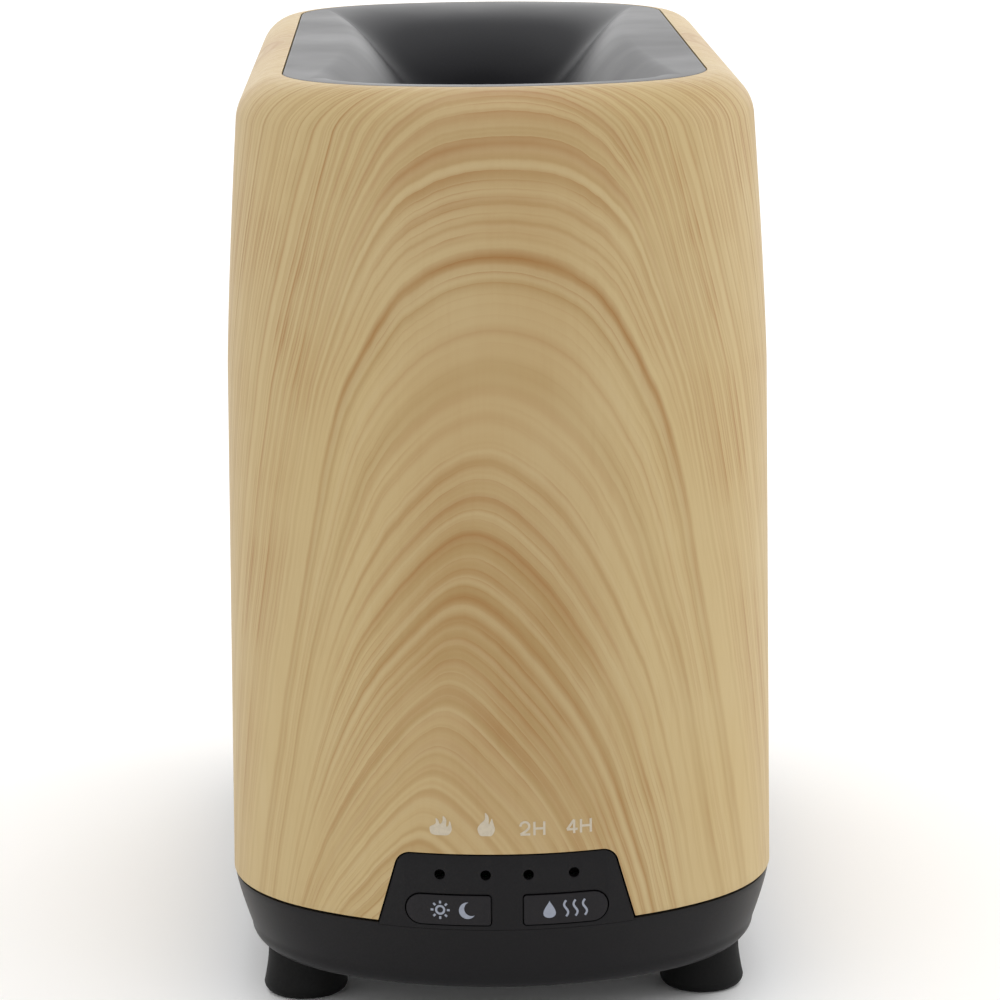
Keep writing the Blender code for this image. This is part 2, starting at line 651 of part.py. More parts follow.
def make_leads(material, parts):
    socket_y = 0.0040
    socket_z = 0.0219
    lamp, mist, fan, keys = [(x, socket_y, socket_z) for x in HEADER_X]
    routes = {
        "lamp_lead": [lamp, (-0.0092, -0.004, 0.0225), (-0.0100, -0.015, 0.0310), (-0.0090, -0.030, 0.0385),
                      (-0.0080, -0.038, 0.0420), (-0.0078, -0.040, 0.0468)],
        "transducer_lead": [mist, (-0.0030, -0.003, 0.0225), (-0.0025, -0.007, 0.0310),
                            (-0.0008, -0.002, 0.0440), (0, 0, 0.0529)],
        "fan_lead": [fan, (0.0032, -0.002, 0.0230), (0.0045, -0.003, 0.0290), (0.0060, 0.007, 0.0315),
                     (0.0060, 0.020, 0.0275), (0.0060, 0.030, 0.0220), (0.0060, 0.0347, 0.0210)],
        "control_lead": [keys, (0.0100, -0.004, 0.0222), (0.0195, -0.020, 0.0235), (0.0213, -0.045, 0.0235),
                         (0.0190, -0.066, 0.0240), (0.0090, -0.080, 0.0255), (0.0060, -0.0874, 0.0262)],
        "power_lead": [(0, 0.0825, 0.0150), (0.0040, 0.0795, 0.0150), (0.0200, 0.0770, 0.0150),
                       (0.0234, 0.066, 0.0150), (0.0240, 0.050, 0.0150), (0.0240, 0.038, 0.0153),
                       (0.0215, 0.0322, 0.0162), (0.0125, 0.0312, 0.0175), (0.0100, 0.0285, 0.0178)],
    }
    for name, points in routes.items():
        make_lead(name, points, material, parts)


# ---- control panel ---------------------------------------------------------------------------

def panel_outline(grow, low_z):
    """The panel's trapezoid in X and Z with round top corners, grown, and drawn down to low_z."""
    top = PANEL_BOTTOM + PANEL_HEIGHT + grow
    lean = math.atan2(PANEL_HALF_BOTTOM - PANEL_HALF_TOP, PANEL_HEIGHT)
    spread = grow / math.cos(lean)
    half_low = PANEL_HALF_BOTTOM + spread + (PANEL_BOTTOM - low_z) * math.tan(lean)
    half_top = PANEL_HALF_TOP + spread - grow * math.tan(lean)
    radius = PANEL_CORNER + grow
    centre_x = half_top - radius * math.tan((math.pi / 2 - lean) / 2)
    right = [(half_low, low_z)]
    for i in range(6):
        a = lean + (math.pi / 2 - lean) * i / 5
        right.append((centre_x + radius * math.cos(a), top - radius + radius * math.sin(a)))
    return right + [(-x, z) for x, z in reversed(right)]


def button_outline(side, grow):
    """A button's outline in X and Z: square towards the middle, a half circle outwards."""
    half_z = BUTTON_HEIGHT / 2 + grow
    inner = BUTTON_X - BUTTON_LENGTH / 2 - grow
    centre = BUTTON_X + BUTTON_LENGTH / 2 - BUTTON_HEIGHT / 2
    points = [(inner, BUTTON_Z - half_z)]
    for i in range(9):
        a = -math.pi / 2 + math.pi * i / 8
        points.append((centre + half_z * math.cos(a), BUTTON_Z + half_z * math.sin(a)))
    points.append((inner, BUTTON_Z + half_z))
    if side < 0:
        points = [(-x, z) for x, z in reversed(points)]
    return points


def front_slab(name, outer, inner, low_z, high_z, half_x, material, group):
    """A curved slab that follows the bowed front, between two insets."""
    steps = 12
    xs = [half_x * (2 * i / steps - 1) for i in range(steps + 1)]

    def ring(z):
        face = [Vector((x, front_y(x, outer), z)) for x in xs]
        back = [Vector((x, front_y(x, inner), z)) for x in reversed(xs)]
        return face + back

    return loft(name, [ring(low_z), ring(high_z)], material, group)


def make_control_panel(material, parts, tools):
    panel = front_slab("control_panel", 0.0003, PANEL_THICK, PANEL_BOTTOM, 0.036, 0.026, material, parts)
    shape = front_cutter("panel_shape", panel_outline(0, PANEL_BOTTOM - 0.001), tools)
    boolean(panel, shape, "INTERSECT")
    for side in (-1, 1):
        cut(panel, front_cutter(f"button_window{side}", button_outline(side, BUTTON_GAP), tools))
    for i, x in enumerate(LED_X):
        cut(panel, cylinder(f"led_window{i}", 0.0009, *FRONT_CUT, (x, LED_Z), None, tools, 16, axis="Y"))
    return panel


def make_button(name, side, material, parts, tools):
    """A key with a flange behind the panel that keeps it in, and a stem that meets the switch."""
    x = side * BUTTON_X
    half_x = 0.019
    low_z, high_z = 0.018, 0.030
    key = front_slab(name, 0.0001, 0.0031, low_z, high_z, half_x, material, parts)
    boolean(key, front_cutter(f"{name}_shape", button_outline(side, 0), tools), "INTERSECT")
    flange = front_slab(f"{name}_flange", PANEL_THICK + GAP, 0.0032, PANEL_BOTTOM + 0.0006, 0.0272, half_x,
                        None, tools)
    reach = BUTTON_LENGTH / 2 + 0.0008
    near, far = FRONT_CUT
    limit = box(f"{name}_limit", (x - reach, near, low_z), (x + reach, far, high_z), None, tools)
    boolean(flange, limit, "INTERSECT")
    stem = cylinder(f"{name}_stem", 0.0015, -0.0965, -0.0944, (x, BUTTON_Z), None, tools, 16, axis="Y")
    return join(key, flange, stem)


def make_controls(board, black, metal, lens, parts, tools):
    back = BOARD_FRONT_Y + 0.0012
    plate = box("control_board", (-0.0185, BOARD_FRONT_Y, 0.0208), (0.0185, back, 0.0320), board, parts)
    for i, side in enumerate((-1, 1)):
        hole = (side * 0.0166, 0.0303)
        cut(plate, cylinder(f"control_hole{i}", 0.0008, -0.095, -0.080, hole, None, tools, 12, axis="Y"))
    front = BOARD_FRONT_Y - GAP
    switch_half = (0.0030, 0.0027)
    for name, side in (("light", -1), ("mist", 1)):
        x = side * BUTTON_X
        at = (x, BUTTON_Z)
        switch = box(f"{name}_switch_body", (x - switch_half[0], -0.0928, BUTTON_Z - switch_half[1]),
                     (x + switch_half[0], front, BUTTON_Z + switch_half[1]), metal, parts)
        cut(switch, cylinder(f"{name}_switch_bore", 0.0020, -0.0950, -0.0903, at, None, tools, 16, axis="Y"))
        cylinder(f"{name}_switch_plunger", 0.0017, -0.0941, -0.0914, at, black, parts, 16, axis="Y")
    for i, x in enumerate(LED_X):
        cylinder(f"indicator_led_{i + 1}", 0.0014, -0.0944, front, (x, LED_Z), lens, parts, 16, axis="Y")


def main():
    clear_scene()
    parts = collection(NAME)
    tools = collection("cutters")
    wood = principled("wood_look_plastic", (0.47, 0.34, 0.19), 0.42)
    black = principled("black_plastic", (0.018, 0.017, 0.018), 0.45)
    insulation = principled("lead_insulation", (0.62, 0.61, 0.58), 0.5)
    rubber = principled("black_rubber", (0.012, 0.012, 0.012), 0.7)
    silicone = principled("silicone", (0.5, 0.5, 0.48), 0.6)
    steel = principled("steel", (0.55, 0.55, 0.56), 0.3, 1.0)
    ceramic = principled("transducer_ceramic", (0.6, 0.57, 0.5), 0.4)
    clear = principled("clear_lens", (0.9, 0.88, 0.8), 0.1, 0.0, 0.5)
    board = principled("circuit_board", (0.02, 0.14, 0.05), 0.5)
    copper = principled("ferrite_and_wire", (0.2, 0.08, 0.03), 0.45)

    make_outer_shell(wood, parts, tools)
    make_top_insert(black, parts, tools)
    make_mist_guide(black, parts, tools)
    for i, side in enumerate((-1, 1)):
        at = (0, side * GUIDE_SCREW_Y)
        screw(f"guide_screw_{i + 1}", at, THROAT_BOTTOM + 0.0077, 0.0025, 0.0010, 0.0090, steel, parts)

    make_base_pan(black, parts, tools)
    places = ("front_left", "front_right", "rear_left", "rear_right")
    for i, (place, (sx, sy)) in enumerate(zip(places, CORNERS)):
        make_foot(f"foot_{place}", foot_at(sx, sy), rubber, parts)
        at = base_screw_at(sx, sy)
        screw(f"base_screw_{i + 1}", at, 0.0157, 0.0029, 0.0011, 0.0150, steel, parts)

    make_tank_body(black, parts, tools)
    make_transducer(ceramic, silicone, black, parts)
    make_lamp(clear, board, steel, parts, tools)
    make_fan(black, steel, parts, tools)
    make_main_board(board, steel, copper, black, parts, tools)
    make_power_jack(black, steel, parts, tools)
    make_leads(insulation, parts)

    make_control_panel(black, parts, tools)
    make_button("light_button", -1, black, parts, tools)
    make_button("mist_button", 1, black, parts, tools)
    make_controls(board, black, steel, clear, parts, tools)


main()
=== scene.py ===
"""Looks of the essential oil diffuser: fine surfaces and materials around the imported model.

The wood-look cover, the dish, the base, the tank, the panel, its keys and the feet are made again with fine
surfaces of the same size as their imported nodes. Every other node keeps its shape and gets a material.
"""
import json
import math

import bmesh
import bpy
import numpy as np
from mathutils import Matrix, Vector


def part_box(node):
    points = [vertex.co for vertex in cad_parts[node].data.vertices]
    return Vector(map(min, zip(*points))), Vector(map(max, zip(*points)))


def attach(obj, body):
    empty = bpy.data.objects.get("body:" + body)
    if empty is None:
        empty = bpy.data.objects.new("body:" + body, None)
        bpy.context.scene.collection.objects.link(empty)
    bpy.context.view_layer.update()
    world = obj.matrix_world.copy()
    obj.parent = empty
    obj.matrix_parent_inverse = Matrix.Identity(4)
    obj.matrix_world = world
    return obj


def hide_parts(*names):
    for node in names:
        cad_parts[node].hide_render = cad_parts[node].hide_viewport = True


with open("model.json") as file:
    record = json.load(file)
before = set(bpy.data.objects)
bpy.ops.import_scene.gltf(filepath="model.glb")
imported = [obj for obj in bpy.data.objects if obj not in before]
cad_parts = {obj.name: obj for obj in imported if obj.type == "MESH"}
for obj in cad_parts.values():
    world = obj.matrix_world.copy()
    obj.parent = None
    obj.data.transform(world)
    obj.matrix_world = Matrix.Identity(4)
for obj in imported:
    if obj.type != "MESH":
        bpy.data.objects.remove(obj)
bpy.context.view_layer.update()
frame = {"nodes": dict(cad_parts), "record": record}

MM = 0.001

# Sizes read from the frame
SHELL_LOW, SHELL_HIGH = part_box("outer_shell")
INSERT_LOW, INSERT_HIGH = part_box("top_insert")
PAN_LOW, PAN_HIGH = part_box("base_pan")
TANK_LOW, TANK_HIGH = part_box("tank_body")
PANEL_LOW, PANEL_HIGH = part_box("control_panel")
HALF_WIDTH = SHELL_HIGH.x
HALF_LENGTH = SHELL_HIGH.y
HEIGHT = INSERT_HIGH.z
SEAM_Z = SHELL_LOW.z

# The body's outline and the cover's side, as the model was designed
END_RADIUS = 0.055
CORNER_RADIUS = 0.0339
CORNER_SHRINK = 0.7
WALL = 0.0022
GAP = 0.0003
DRAFT = 0.010
SHOULDER_START = 0.090
SHOULDER_END = 0.132
SHOULDER_INSET = 0.0019
TOP_FILLET = 0.008

# The dish
MOUTH_HALF = 0.0265
MOUTH_SPREAD = 0.0210
DISH_DEPTH = 0.018
DISH_ROLL = 0.50
SLOT_HALF = 0.012
SLOT_HALF_LENGTH = 0.058
INSERT_SKIN = 0.002
FLANGE_IN = 0.0022
FLANGE_OUT = 0.0009
FLANGE_DROP = 0.0041
GUIDE_SCREW_Y = 0.070

# The base and the tank
PAN_FLOOR = 0.0107
PAN_RIM = 0.003
PAN_RIM_Z = 0.0115
SKIRT_INSET = 0.0035
TANK_WALL = 0.002
TANK_UNDER = 0.056
TANK_FLOOR = 0.0582
TOWER_Y = 0.055
LENS_Y = -0.048
TANK_TOP = 0.100
FOOT_AT = (0.035, 0.0685)
FOOT_BOSS = 0.0065
SCREW_AT = (0.034, 0.045)
VENT_COUNT = 7
VENT_STEP = 0.0042
VENT_HALF = 0.0012
VENT_REACH = 0.0155
JACK_Z = 0.0148
SOFT_EDGE = 0.0004

# The panel
PANEL_HALF_BOTTOM = 0.0217
PANEL_HALF_TOP = 0.0180
PANEL_CORNER = 0.0025
BUTTON_LENGTH = 0.0142
BUTTON_HEIGHT = 0.0051
BUTTON_X = 0.0099
BUTTON_Z = 0.02375
LED_X = (-0.0113, -0.0036, 0.0036, 0.0113)
LED_Z = SEAM_Z + 0.0089
LED_HOLE = 0.0009
PANEL_FACE = 0.0003
PANEL_BACK = 0.0020
KEY_FACE = 0.0001
KEY_BACK = 0.0031
KEY_GAP = 0.00024
FRONT_CUT = (-0.11, -0.08)

# Holes and bosses: the radius, and where each starts and ends along its axis
GUIDE_BOSS = (0.0028, 0.1412, 0.1555)
GUIDE_PILOT = (0.0013, 0.140, 0.150)
PAN_BOSS = (0.0045, PAN_FLOOR - 0.001, 0.0190)
PAN_COUNTERBORE = (0.0034, 0.006, 0.0160)
PAN_CLEARANCE = (0.0017, 0.015, 0.021)
FOOT_STEM_HOLE = (0.0028, 0.006, 0.013)
JACK_HOLE = (0.0038, 0.092, 0.105)
TANK_BOSS = (0.0038, 0.0194, TANK_UNDER + 0.001)
TANK_PILOT = (0.0014, 0.018, 0.033)
TOWER = (0.014, TANK_UNDER + 0.001, TANK_HIGH.z)
TOWER_BORE = (0.012, 0.050, 0.110)
WELL = (0.0155, 0.049, TANK_UNDER + 0.001)
WELL_SEAT = (0.0122, 0.045, TANK_UNDER - 0.0002)
MIST_PORT = (0.0085, 0.054, 0.060)
LENS_PORT = (0.0112, 0.054, 0.060)
KEY_STEM = (0.0015, -0.0965, -0.0944)

# Points along half an end, round a corner and along half a side, for fine surfaces
FINE = (44, 22, 20)
PLAIN = (16, 12, 3)

# The camera
CAMERA_AT = Vector((-0.01405, -0.72068, 0.22418))
CAMERA_LENS = 139.05
CAMERA_DOWN = math.radians(11.817)
CAMERA_RIGHT = math.radians(1.241)
CAMERA_ROLL = math.radians(-0.542)


# ---- node helpers ----------------------------------------------------------------------------

def srgb(red, green, blue):
    """A colour given as 0 to 255 display values, as linear values."""
    def linear(value):
        value /= 255
        return value / 12.92 if value <= 0.04045 else ((value + 0.055) / 1.055) ** 2.4
    return (linear(red), linear(green), linear(blue), 1.0)


HEART_WOOD = srgb(184, 158, 113)
SAP_WOOD = srgb(194, 171, 124)
TAN_WOOD = srgb(162, 131, 81)
PALE_WOOD = srgb(196, 176, 134)
LINE_WOOD = srgb(146, 92, 30)


class Nodes:
    """A small helper for writing a node material from top to bottom."""

    def __init__(self, name):
        self.material = bpy.data.materials.new(name)
        self.material.use_nodes = True
        self.tree = self.material.node_tree
        self.shader = self.tree.nodes["Principled BSDF"]
        coordinates = self.tree.nodes.new("ShaderNodeTexCoord")
        self.place = coordinates.outputs["Object"]

    def add(self, kind, inputs=None, **settings):
        node = self.tree.nodes.new(kind)
        for key, value in settings.items():
            setattr(node, key, value)
        for key, value in (inputs or {}).items():
            self.put(node.inputs[key], value)
        return node

    def put(self, socket, value):
        if isinstance(value, bpy.types.NodeSocket):
            self.tree.links.new(value, socket)
        else:
            socket.default_value = value

    def set(self, **values):
        for key, value in values.items():
            self.put(self.shader.inputs[key.replace("_", " ")], value)

    def math(self, operation, a, b=0.0, clamp=False):
        node = self.add("ShaderNodeMath", {0: a, 1: b}, operation=operation, use_clamp=clamp)
        return node.outputs[0]

    def noise(self, place, scale, detail=2.0, rough=0.5, stretch=None):
        if stretch is not None:
            place = self.add("ShaderNodeMapping", {"Vector": place, "Scale": stretch}).outputs[0]
        inputs = {"Vector": place, "Scale": scale, "Detail": detail, "Roughness": rough}
        return self.add("ShaderNodeTexNoise", inputs).outputs[0]

    def noise_line(self, value, scale, detail=1.0):
        """Noise that varies along a single value, so it draws lines along that value's contours."""
        inputs = {"W": value, "Scale": scale, "Detail": detail}
        return self.add("ShaderNodeTexNoise", inputs, noise_dimensions="1D").outputs[0]

    def rescale(self, value, low, high, to_low=0.0, to_high=1.0, smooth=False):
        inputs = {"Value": value, 1: low, 2: high, 3: to_low, 4: to_high}
        kind = "SMOOTHSTEP" if smooth else "LINEAR"
        return self.add("ShaderNodeMapRange", inputs, interpolation_type=kind).outputs[0]

    def mix(self, factor, first, second, blend="MIX"):
        node = self.add("ShaderNodeMix", data_type="RGBA", blend_type=blend)
        self.put(node.inputs["Factor"], factor)
        self.put(node.inputs[6], first)
        self.put(node.inputs[7], second)
        return node.outputs[2]

    def bump(self, height, strength, distance):
        inputs = {"Height": height, "Strength": strength, "Distance": distance}
        self.set(Normal=self.add("ShaderNodeBump", inputs).outputs[0])


# ---- materials -------------------------------------------------------------------------------

# Heights above the seam, in mm, where a strong growth line peaks, with its strength
GRAIN_LINES = ((14, 0.3), (23, 0.45), (28, 0.35), (32.5, 0.6), (37, 0.4), (41, 0.95), (46, 0.8), (50, 0.55),
               (54, 0.7), (57.5, 0.95), (62, 0.45), (68, 0.9), (74, 0.7), (80, 0.5), (87, 0.4), (91, 0.45),
               (101, 0.4), (113.5, 1.0), (119, 0.4), (123, 0.75), (127, 0.6), (132, 0.85), (137, 0.65),
               (142, 0.85), (149, 0.6), (156, 0.85), (163, 0.5), (171, 0.9), (180, 0.6), (190, 0.85))
GRAIN_RANGE = 200.0
LINES_PER_RAMP = 6
# Distances from a figure's middle, in mm, over which its arms and then its flanks set in
ARM_ZONE = (6.0, 30.0)
FLANK_ZONE = (24.0, 38.0)
# Stretches of the grain field, in mm: where each starts, is full, begins to fade, and ends
HEART_ZONE = (30.0, 48.0, 62.0, 86.0)
PLAIN_ZONE = (78.0, 88.0, 106.0, 111.0)
# Spacing of the fine rings in mm: in the arches, on the flanks, and past the last growth line
INNER_RINGS, OUTER_RINGS, TOP_RINGS = 2.3, 4.6, 8.0


def growth_lines(nodes, field, lines):
    """A ramp over the grain field: each line darkens slowly from below and ends sharply above."""
    place = nodes.math("DIVIDE", field, GRAIN_RANGE)
    node = nodes.add("ShaderNodeValToRGB", {"Fac": place})
    ramp = node.color_ramp
    ramp.elements[0].position = 0.0
    ramp.elements[0].color = (0, 0, 0, 1)
    ramp.elements[1].position = 1.0
    ramp.elements[1].color = (0, 0, 0, 1)
    for height, strength in lines:
        wide = 1.0 if height < 105 else 1.5
        for offset, part in ((-2.0, 0.0), (-0.7, 0.4), (0.0, 1.0), (0.9, 0.0)):
            stop = ramp.elements.new((height + offset * wide) / GRAIN_RANGE)
            stop.color = (strength * part,) * 3 + (1,)
    return node.outputs["Color"]


def ring_wave(nodes, field, spacing, shift, power):
    """Unevenly spaced rings that darken slowly and end sharply."""
    drift = nodes.math("MULTIPLY", nodes.noise_line(nodes.math("ADD", field, shift), 0.06, 1.0), 14 / spacing)
    turns = nodes.math("ADD", nodes.math("DIVIDE", field, spacing), drift)
    return nodes.math("POWER", nodes.math("FRACT", turns), power)


def stretch_of(nodes, field, zone):
    """1 inside a stretch of the grain field, fading to 0 at both ends."""
    start, full, fading, end = zone
    rise = nodes.rescale(field, start, full, smooth=True)
    return nodes.math("MULTIPLY", rise, nodes.rescale(field, fading, end, 1.0, 0.0, smooth=True))


def wood_material():
    """The printed grain: growth lines, fine rings and streaks along the grain field."""
    nodes = Nodes("wood_look_print")
    grain = nodes.add("ShaderNodeUVMap", uv_map="grain").outputs[0]
    axes = nodes.add("ShaderNodeSeparateXYZ", {0: grain})
    outward = nodes.rescale(axes.outputs[0], *ARM_ZONE, smooth=True)
    flank = nodes.rescale(axes.outputs[0], *FLANK_ZONE, smooth=True)
    steep = nodes.math("ADD", nodes.math("MULTIPLY", outward, 2.6), 1.0)
    sway = nodes.math("SUBTRACT", nodes.noise(nodes.place, 20, 1.0), 0.5)
    wobble = nodes.math("SUBTRACT", nodes.noise(nodes.place, 110, 2.0, stretch=(1, 1, 0.45)), 0.5)
    jitter = nodes.math("SUBTRACT", nodes.noise(nodes.place, 420, 2.0, stretch=(1, 1, 0.2)), 0.5)
    shift = nodes.math("ADD", nodes.math("MULTIPLY", sway, 2.8), nodes.math("MULTIPLY", wobble, 0.8))
    shift = nodes.math("ADD", shift, nodes.math("MULTIPLY", jitter, 0.3))
    field = nodes.math("ADD", axes.outputs[1], nodes.math("MULTIPLY", shift, steep))

    bold = 0.0
    for start in range(0, len(GRAIN_LINES), LINES_PER_RAMP):
        part = growth_lines(nodes, field, GRAIN_LINES[start:start + LINES_PER_RAMP])
        bold = nodes.math("ADD", part, bold)
    beyond = nodes.rescale(field, GRAIN_RANGE - 8, GRAIN_RANGE - 2)
    top_rings = ring_wave(nodes, field, TOP_RINGS, 10.0, 9.0)
    bold = nodes.math("ADD", bold, nodes.math("MULTIPLY", top_rings, beyond))
    fade = nodes.rescale(nodes.noise(nodes.place, 42, 2.0), 0.35, 0.6, 0.45, 1.0)
    groups = nodes.rescale(nodes.noise_line(field, 0.045, 1.0), 0.38, 0.62, -0.55, 0.25)
    groups = nodes.math("ADD", nodes.math("MULTIPLY", groups, flank), 1.0)
    height = nodes.add("ShaderNodeSeparateXYZ", {0: nodes.place}).outputs[2]
    low_flank = nodes.math("MULTIPLY", flank, nodes.rescale(height, 0.05, 0.13, 0.45, 0.0))
    groups = nodes.math("SUBTRACT", groups, low_flank, clamp=False)
    bold = nodes.math("MULTIPLY", nodes.math("MULTIPLY", bold, fade), groups)
    inner_rings = ring_wave(nodes, field, INNER_RINGS, 0.0, 5.0)
    outer_rings = ring_wave(nodes, field, OUTER_RINGS, 90.0, 4.0)
    rings = nodes.mix(flank, inner_rings, outer_rings)
    ring_fade = nodes.rescale(nodes.noise(nodes.place, 55, 2.0), 0.4, 0.6, 0.04, 0.42)
    ring_fade = nodes.math("MULTIPLY", ring_fade, nodes.math("ADD", nodes.math("MULTIPLY", flank, 0.5), 1.0))
    plain = nodes.math("MULTIPLY", stretch_of(nodes, field, PLAIN_ZONE),
                       nodes.rescale(outward, 0.0, 1.0, 0.85, 0.3))
    busy = nodes.math("SUBTRACT", groups, plain, clamp=True)
    ring_fade = nodes.math("MULTIPLY", ring_fade, busy)
    heart = nodes.math("MULTIPLY", stretch_of(nodes, field, HEART_ZONE),
                       nodes.rescale(outward, 0.0, 1.0, 0.62, 0.0))
    bands = nodes.rescale(nodes.noise_line(nodes.math("ADD", field, 30.0), 0.11, 1.0), 0.5, 0.7, 0.0, 0.3)
    streaks = nodes.noise_line(nodes.math("ADD", field, 80.0), 0.38, 2.0)
    pale_streaks = nodes.math("MULTIPLY", nodes.rescale(streaks, 0.5, 0.68, 0.0, 0.36), busy)
    tan_streaks = nodes.math("MULTIPLY", nodes.rescale(streaks, 0.32, 0.5, 0.36, 0.0), busy)
    fibre = nodes.noise(nodes.place, 900, 3.0, 0.6, stretch=(1, 1, 0.05))
    cloud = nodes.noise(nodes.place, 30, 2.0)

    colour = nodes.mix(outward, HEART_WOOD, SAP_WOOD)
    colour = nodes.mix(heart, colour, TAN_WOOD)
    colour = nodes.mix(bands, colour, TAN_WOOD)
    colour = nodes.mix(nodes.rescale(cloud, 0.4, 0.7, 0.0, 0.4), colour, PALE_WOOD)
    colour = nodes.mix(pale_streaks, colour, PALE_WOOD)
    colour = nodes.mix(tan_streaks, colour, TAN_WOOD)
    colour = nodes.mix(nodes.math("MULTIPLY", rings, ring_fade), colour, LINE_WOOD)
    colour = nodes.mix(nodes.math("MULTIPLY", bold, 0.62, clamp=True), colour, LINE_WOOD)
    colour = nodes.mix(nodes.rescale(fibre, 0.45, 0.75, 0.0, 0.05), colour, LINE_WOOD)
    nodes.set(Base_Color=colour, Roughness=nodes.rescale(fibre, 0.3, 0.7, 0.44, 0.54))
    nodes.set(Specular_IOR_Level=0.24)
    nodes.bump(fibre, 0.05, 0.00005)
    return nodes.material


def moulded_material(name, colour, rough, texture=0.10, scale=2600, specular=0.5, patch=0.18):
    """Moulded plastic with a fine spark-eroded texture and slight shade and gloss patches."""
    nodes = Nodes(name)
    texture_noise = nodes.noise(nodes.place, scale, 3.0, 0.6)
    patches = nodes.noise(nodes.place, 35, 3.0)
    lighter = tuple(min(1.0, c * (1 + patch) + 0.001) for c in colour[:3]) + (1,)
    darker = tuple(c * (1 - patch) for c in colour[:3]) + (1,)
    mottled = nodes.mix(nodes.rescale(texture_noise, 0.35, 0.65), darker, lighter)
    nodes.set(Base_Color=nodes.mix(nodes.rescale(patches, 0.35, 0.65, 0, 0.5), mottled, colour))
    nodes.set(Roughness=nodes.rescale(patches, 0.3, 0.7, rough - 0.04, rough + 0.05))
    nodes.set(Specular_IOR_Level=specular)
    nodes.bump(texture_noise, texture, 0.00008)
    return nodes.material


def metal_material(name, colour, rough, stretch=(1, 1, 1)):
    nodes = Nodes(name)
    lines = nodes.noise(nodes.place, 1500, 3.0, 0.6, stretch=stretch)
    shade = nodes.rescale(lines, 0.3, 0.7, 0.82, 1.0)
    nodes.set(Base_Color=nodes.mix(shade, (0.05, 0.05, 0.05, 1), colour), Metallic=1.0)
    nodes.set(Roughness=nodes.rescale(lines, 0.3, 0.7, rough - 0.06, rough + 0.1))
    nodes.bump(lines, 0.08, 0.00004)
    return nodes.material


def board_material():
    nodes = Nodes("green_board")
    weave = nodes.add("ShaderNodeTexBrick", {
        "Vector": nodes.place, "Scale": 320.0, "Mortar Size": 0.03, "Color1": (0.012, 0.10, 0.035, 1),
        "Color2": (0.016, 0.13, 0.045, 1), "Mortar": (0.03, 0.20, 0.08, 1)})
    patches = nodes.noise(nodes.place, 90, 2.0)
    colour = nodes.mix(nodes.rescale(patches, 0.4, 0.6, 0.0, 0.5), weave.outputs[0], (0.01, 0.08, 0.03, 1))
    nodes.set(Base_Color=colour, Roughness=nodes.rescale(patches, 0.3, 0.7, 0.3, 0.45))
    nodes.bump(weave.outputs[1], 0.15, 0.00005)
    return nodes.material


def clear_material():
    nodes = Nodes("clear_lens")
    haze = nodes.noise(nodes.place, 700, 3.0)
    tint = nodes.mix(nodes.rescale(haze, 0.4, 0.7, 0, 0.4), (0.95, 0.93, 0.88, 1), (0.8, 0.8, 0.76, 1))
    nodes.set(Base_Color=tint)
    nodes.set(Roughness=nodes.rescale(haze, 0.3, 0.7, 0.06, 0.22), Transmission_Weight=0.85, IOR=1.49)
    nodes.bump(haze, 0.05, 0.00005)
    return nodes.material


def winding_material():
    nodes = Nodes("enamelled_winding")
    turns = nodes.add("ShaderNodeTexWave", {"Vector": nodes.place, "Scale": 700.0, "Distortion": 0.4},
                      bands_direction="Z")
    colour = nodes.mix(turns.outputs[1], (0.10, 0.03, 0.012, 1), (0.42, 0.15, 0.05, 1))
    nodes.set(Base_Color=colour, Roughness=0.35, Metallic=nodes.rescale(turns.outputs[1], 0.2, 0.8, 0.1, 0.7))
    nodes.bump(turns.outputs[1], 0.4, 0.0002)
    return nodes.material


def printed_material(name, colour):
    """Thin printed ink, slightly worn and uneven."""
    nodes = Nodes(name)
    wear = nodes.noise(nodes.place, 1800, 3.0, 0.6)
    dim = tuple(c * 0.88 for c in colour[:3]) + (1,)
    nodes.set(Base_Color=nodes.mix(nodes.rescale(wear, 0.35, 0.7), dim, colour))
    nodes.set(Roughness=nodes.rescale(wear, 0.3, 0.7, 0.45, 0.6))
    nodes.bump(wear, 0.06, 0.00003)
    return nodes.material


# ---- outlines --------------------------------------------------------------------------------

def quarter_outline(inset, steps):
    """A quarter of the body's outline, from the middle of the front to the middle of the right side."""
    half_w = HALF_WIDTH - inset
    half_l = HALF_LENGTH - inset
    corner = CORNER_RADIUS - CORNER_SHRINK * inset
    corner_x = half_w - corner
    bow_y = END_RADIUS - half_l
    corner_y = bow_y - math.sqrt((END_RADIUS - corner) ** 2 - corner_x ** 2)
    turn = math.atan2(corner_x, bow_y - corner_y)
    arc_steps, corner_steps, side_steps = steps
    quarter = []
    for i in range(arc_steps):
        a = turn * i / arc_steps
        quarter.append((END_RADIUS * math.sin(a), bow_y - END_RADIUS * math.cos(a)))
    for i in range(corner_steps):
        a = turn + (math.pi / 2 - turn) * i / corner_steps
        quarter.append((corner_x + corner * math.sin(a), corner_y - corner * math.cos(a)))
    for i in range(side_steps + 1):
        quarter.append((half_w, corner_y * (1 - i / side_steps)))
    return quarter


def body_outline(inset, steps):
    """The whole outline, anticlockwise from the middle of the front."""
    quarter = quarter_outline(inset, steps)
    right = quarter + [(x, -y) for x, y in reversed(quarter[:-1])]
    left = [(-x, y) for x, y in reversed(right[1:-1])]
    return right + left


def outline_lengths(steps):
    """Distance along the outline from the front's middle to each point, ending after a full turn."""
    points = [Vector(p) for p in body_outline(0, steps)]
    run = [0.0]
    for here, ahead in zip(points, points[1:] + points[:1]):
        run.append(run[-1] + (ahead - here).length)
    return run


def level(inset, z, steps):
    return [Vector((x, y, z)) for x, y in body_outline(inset, steps)]


def front_y(x, inset=0.0):
    return END_RADIUS - (HALF_LENGTH - inset) - math.sqrt(END_RADIUS ** 2 - x * x)


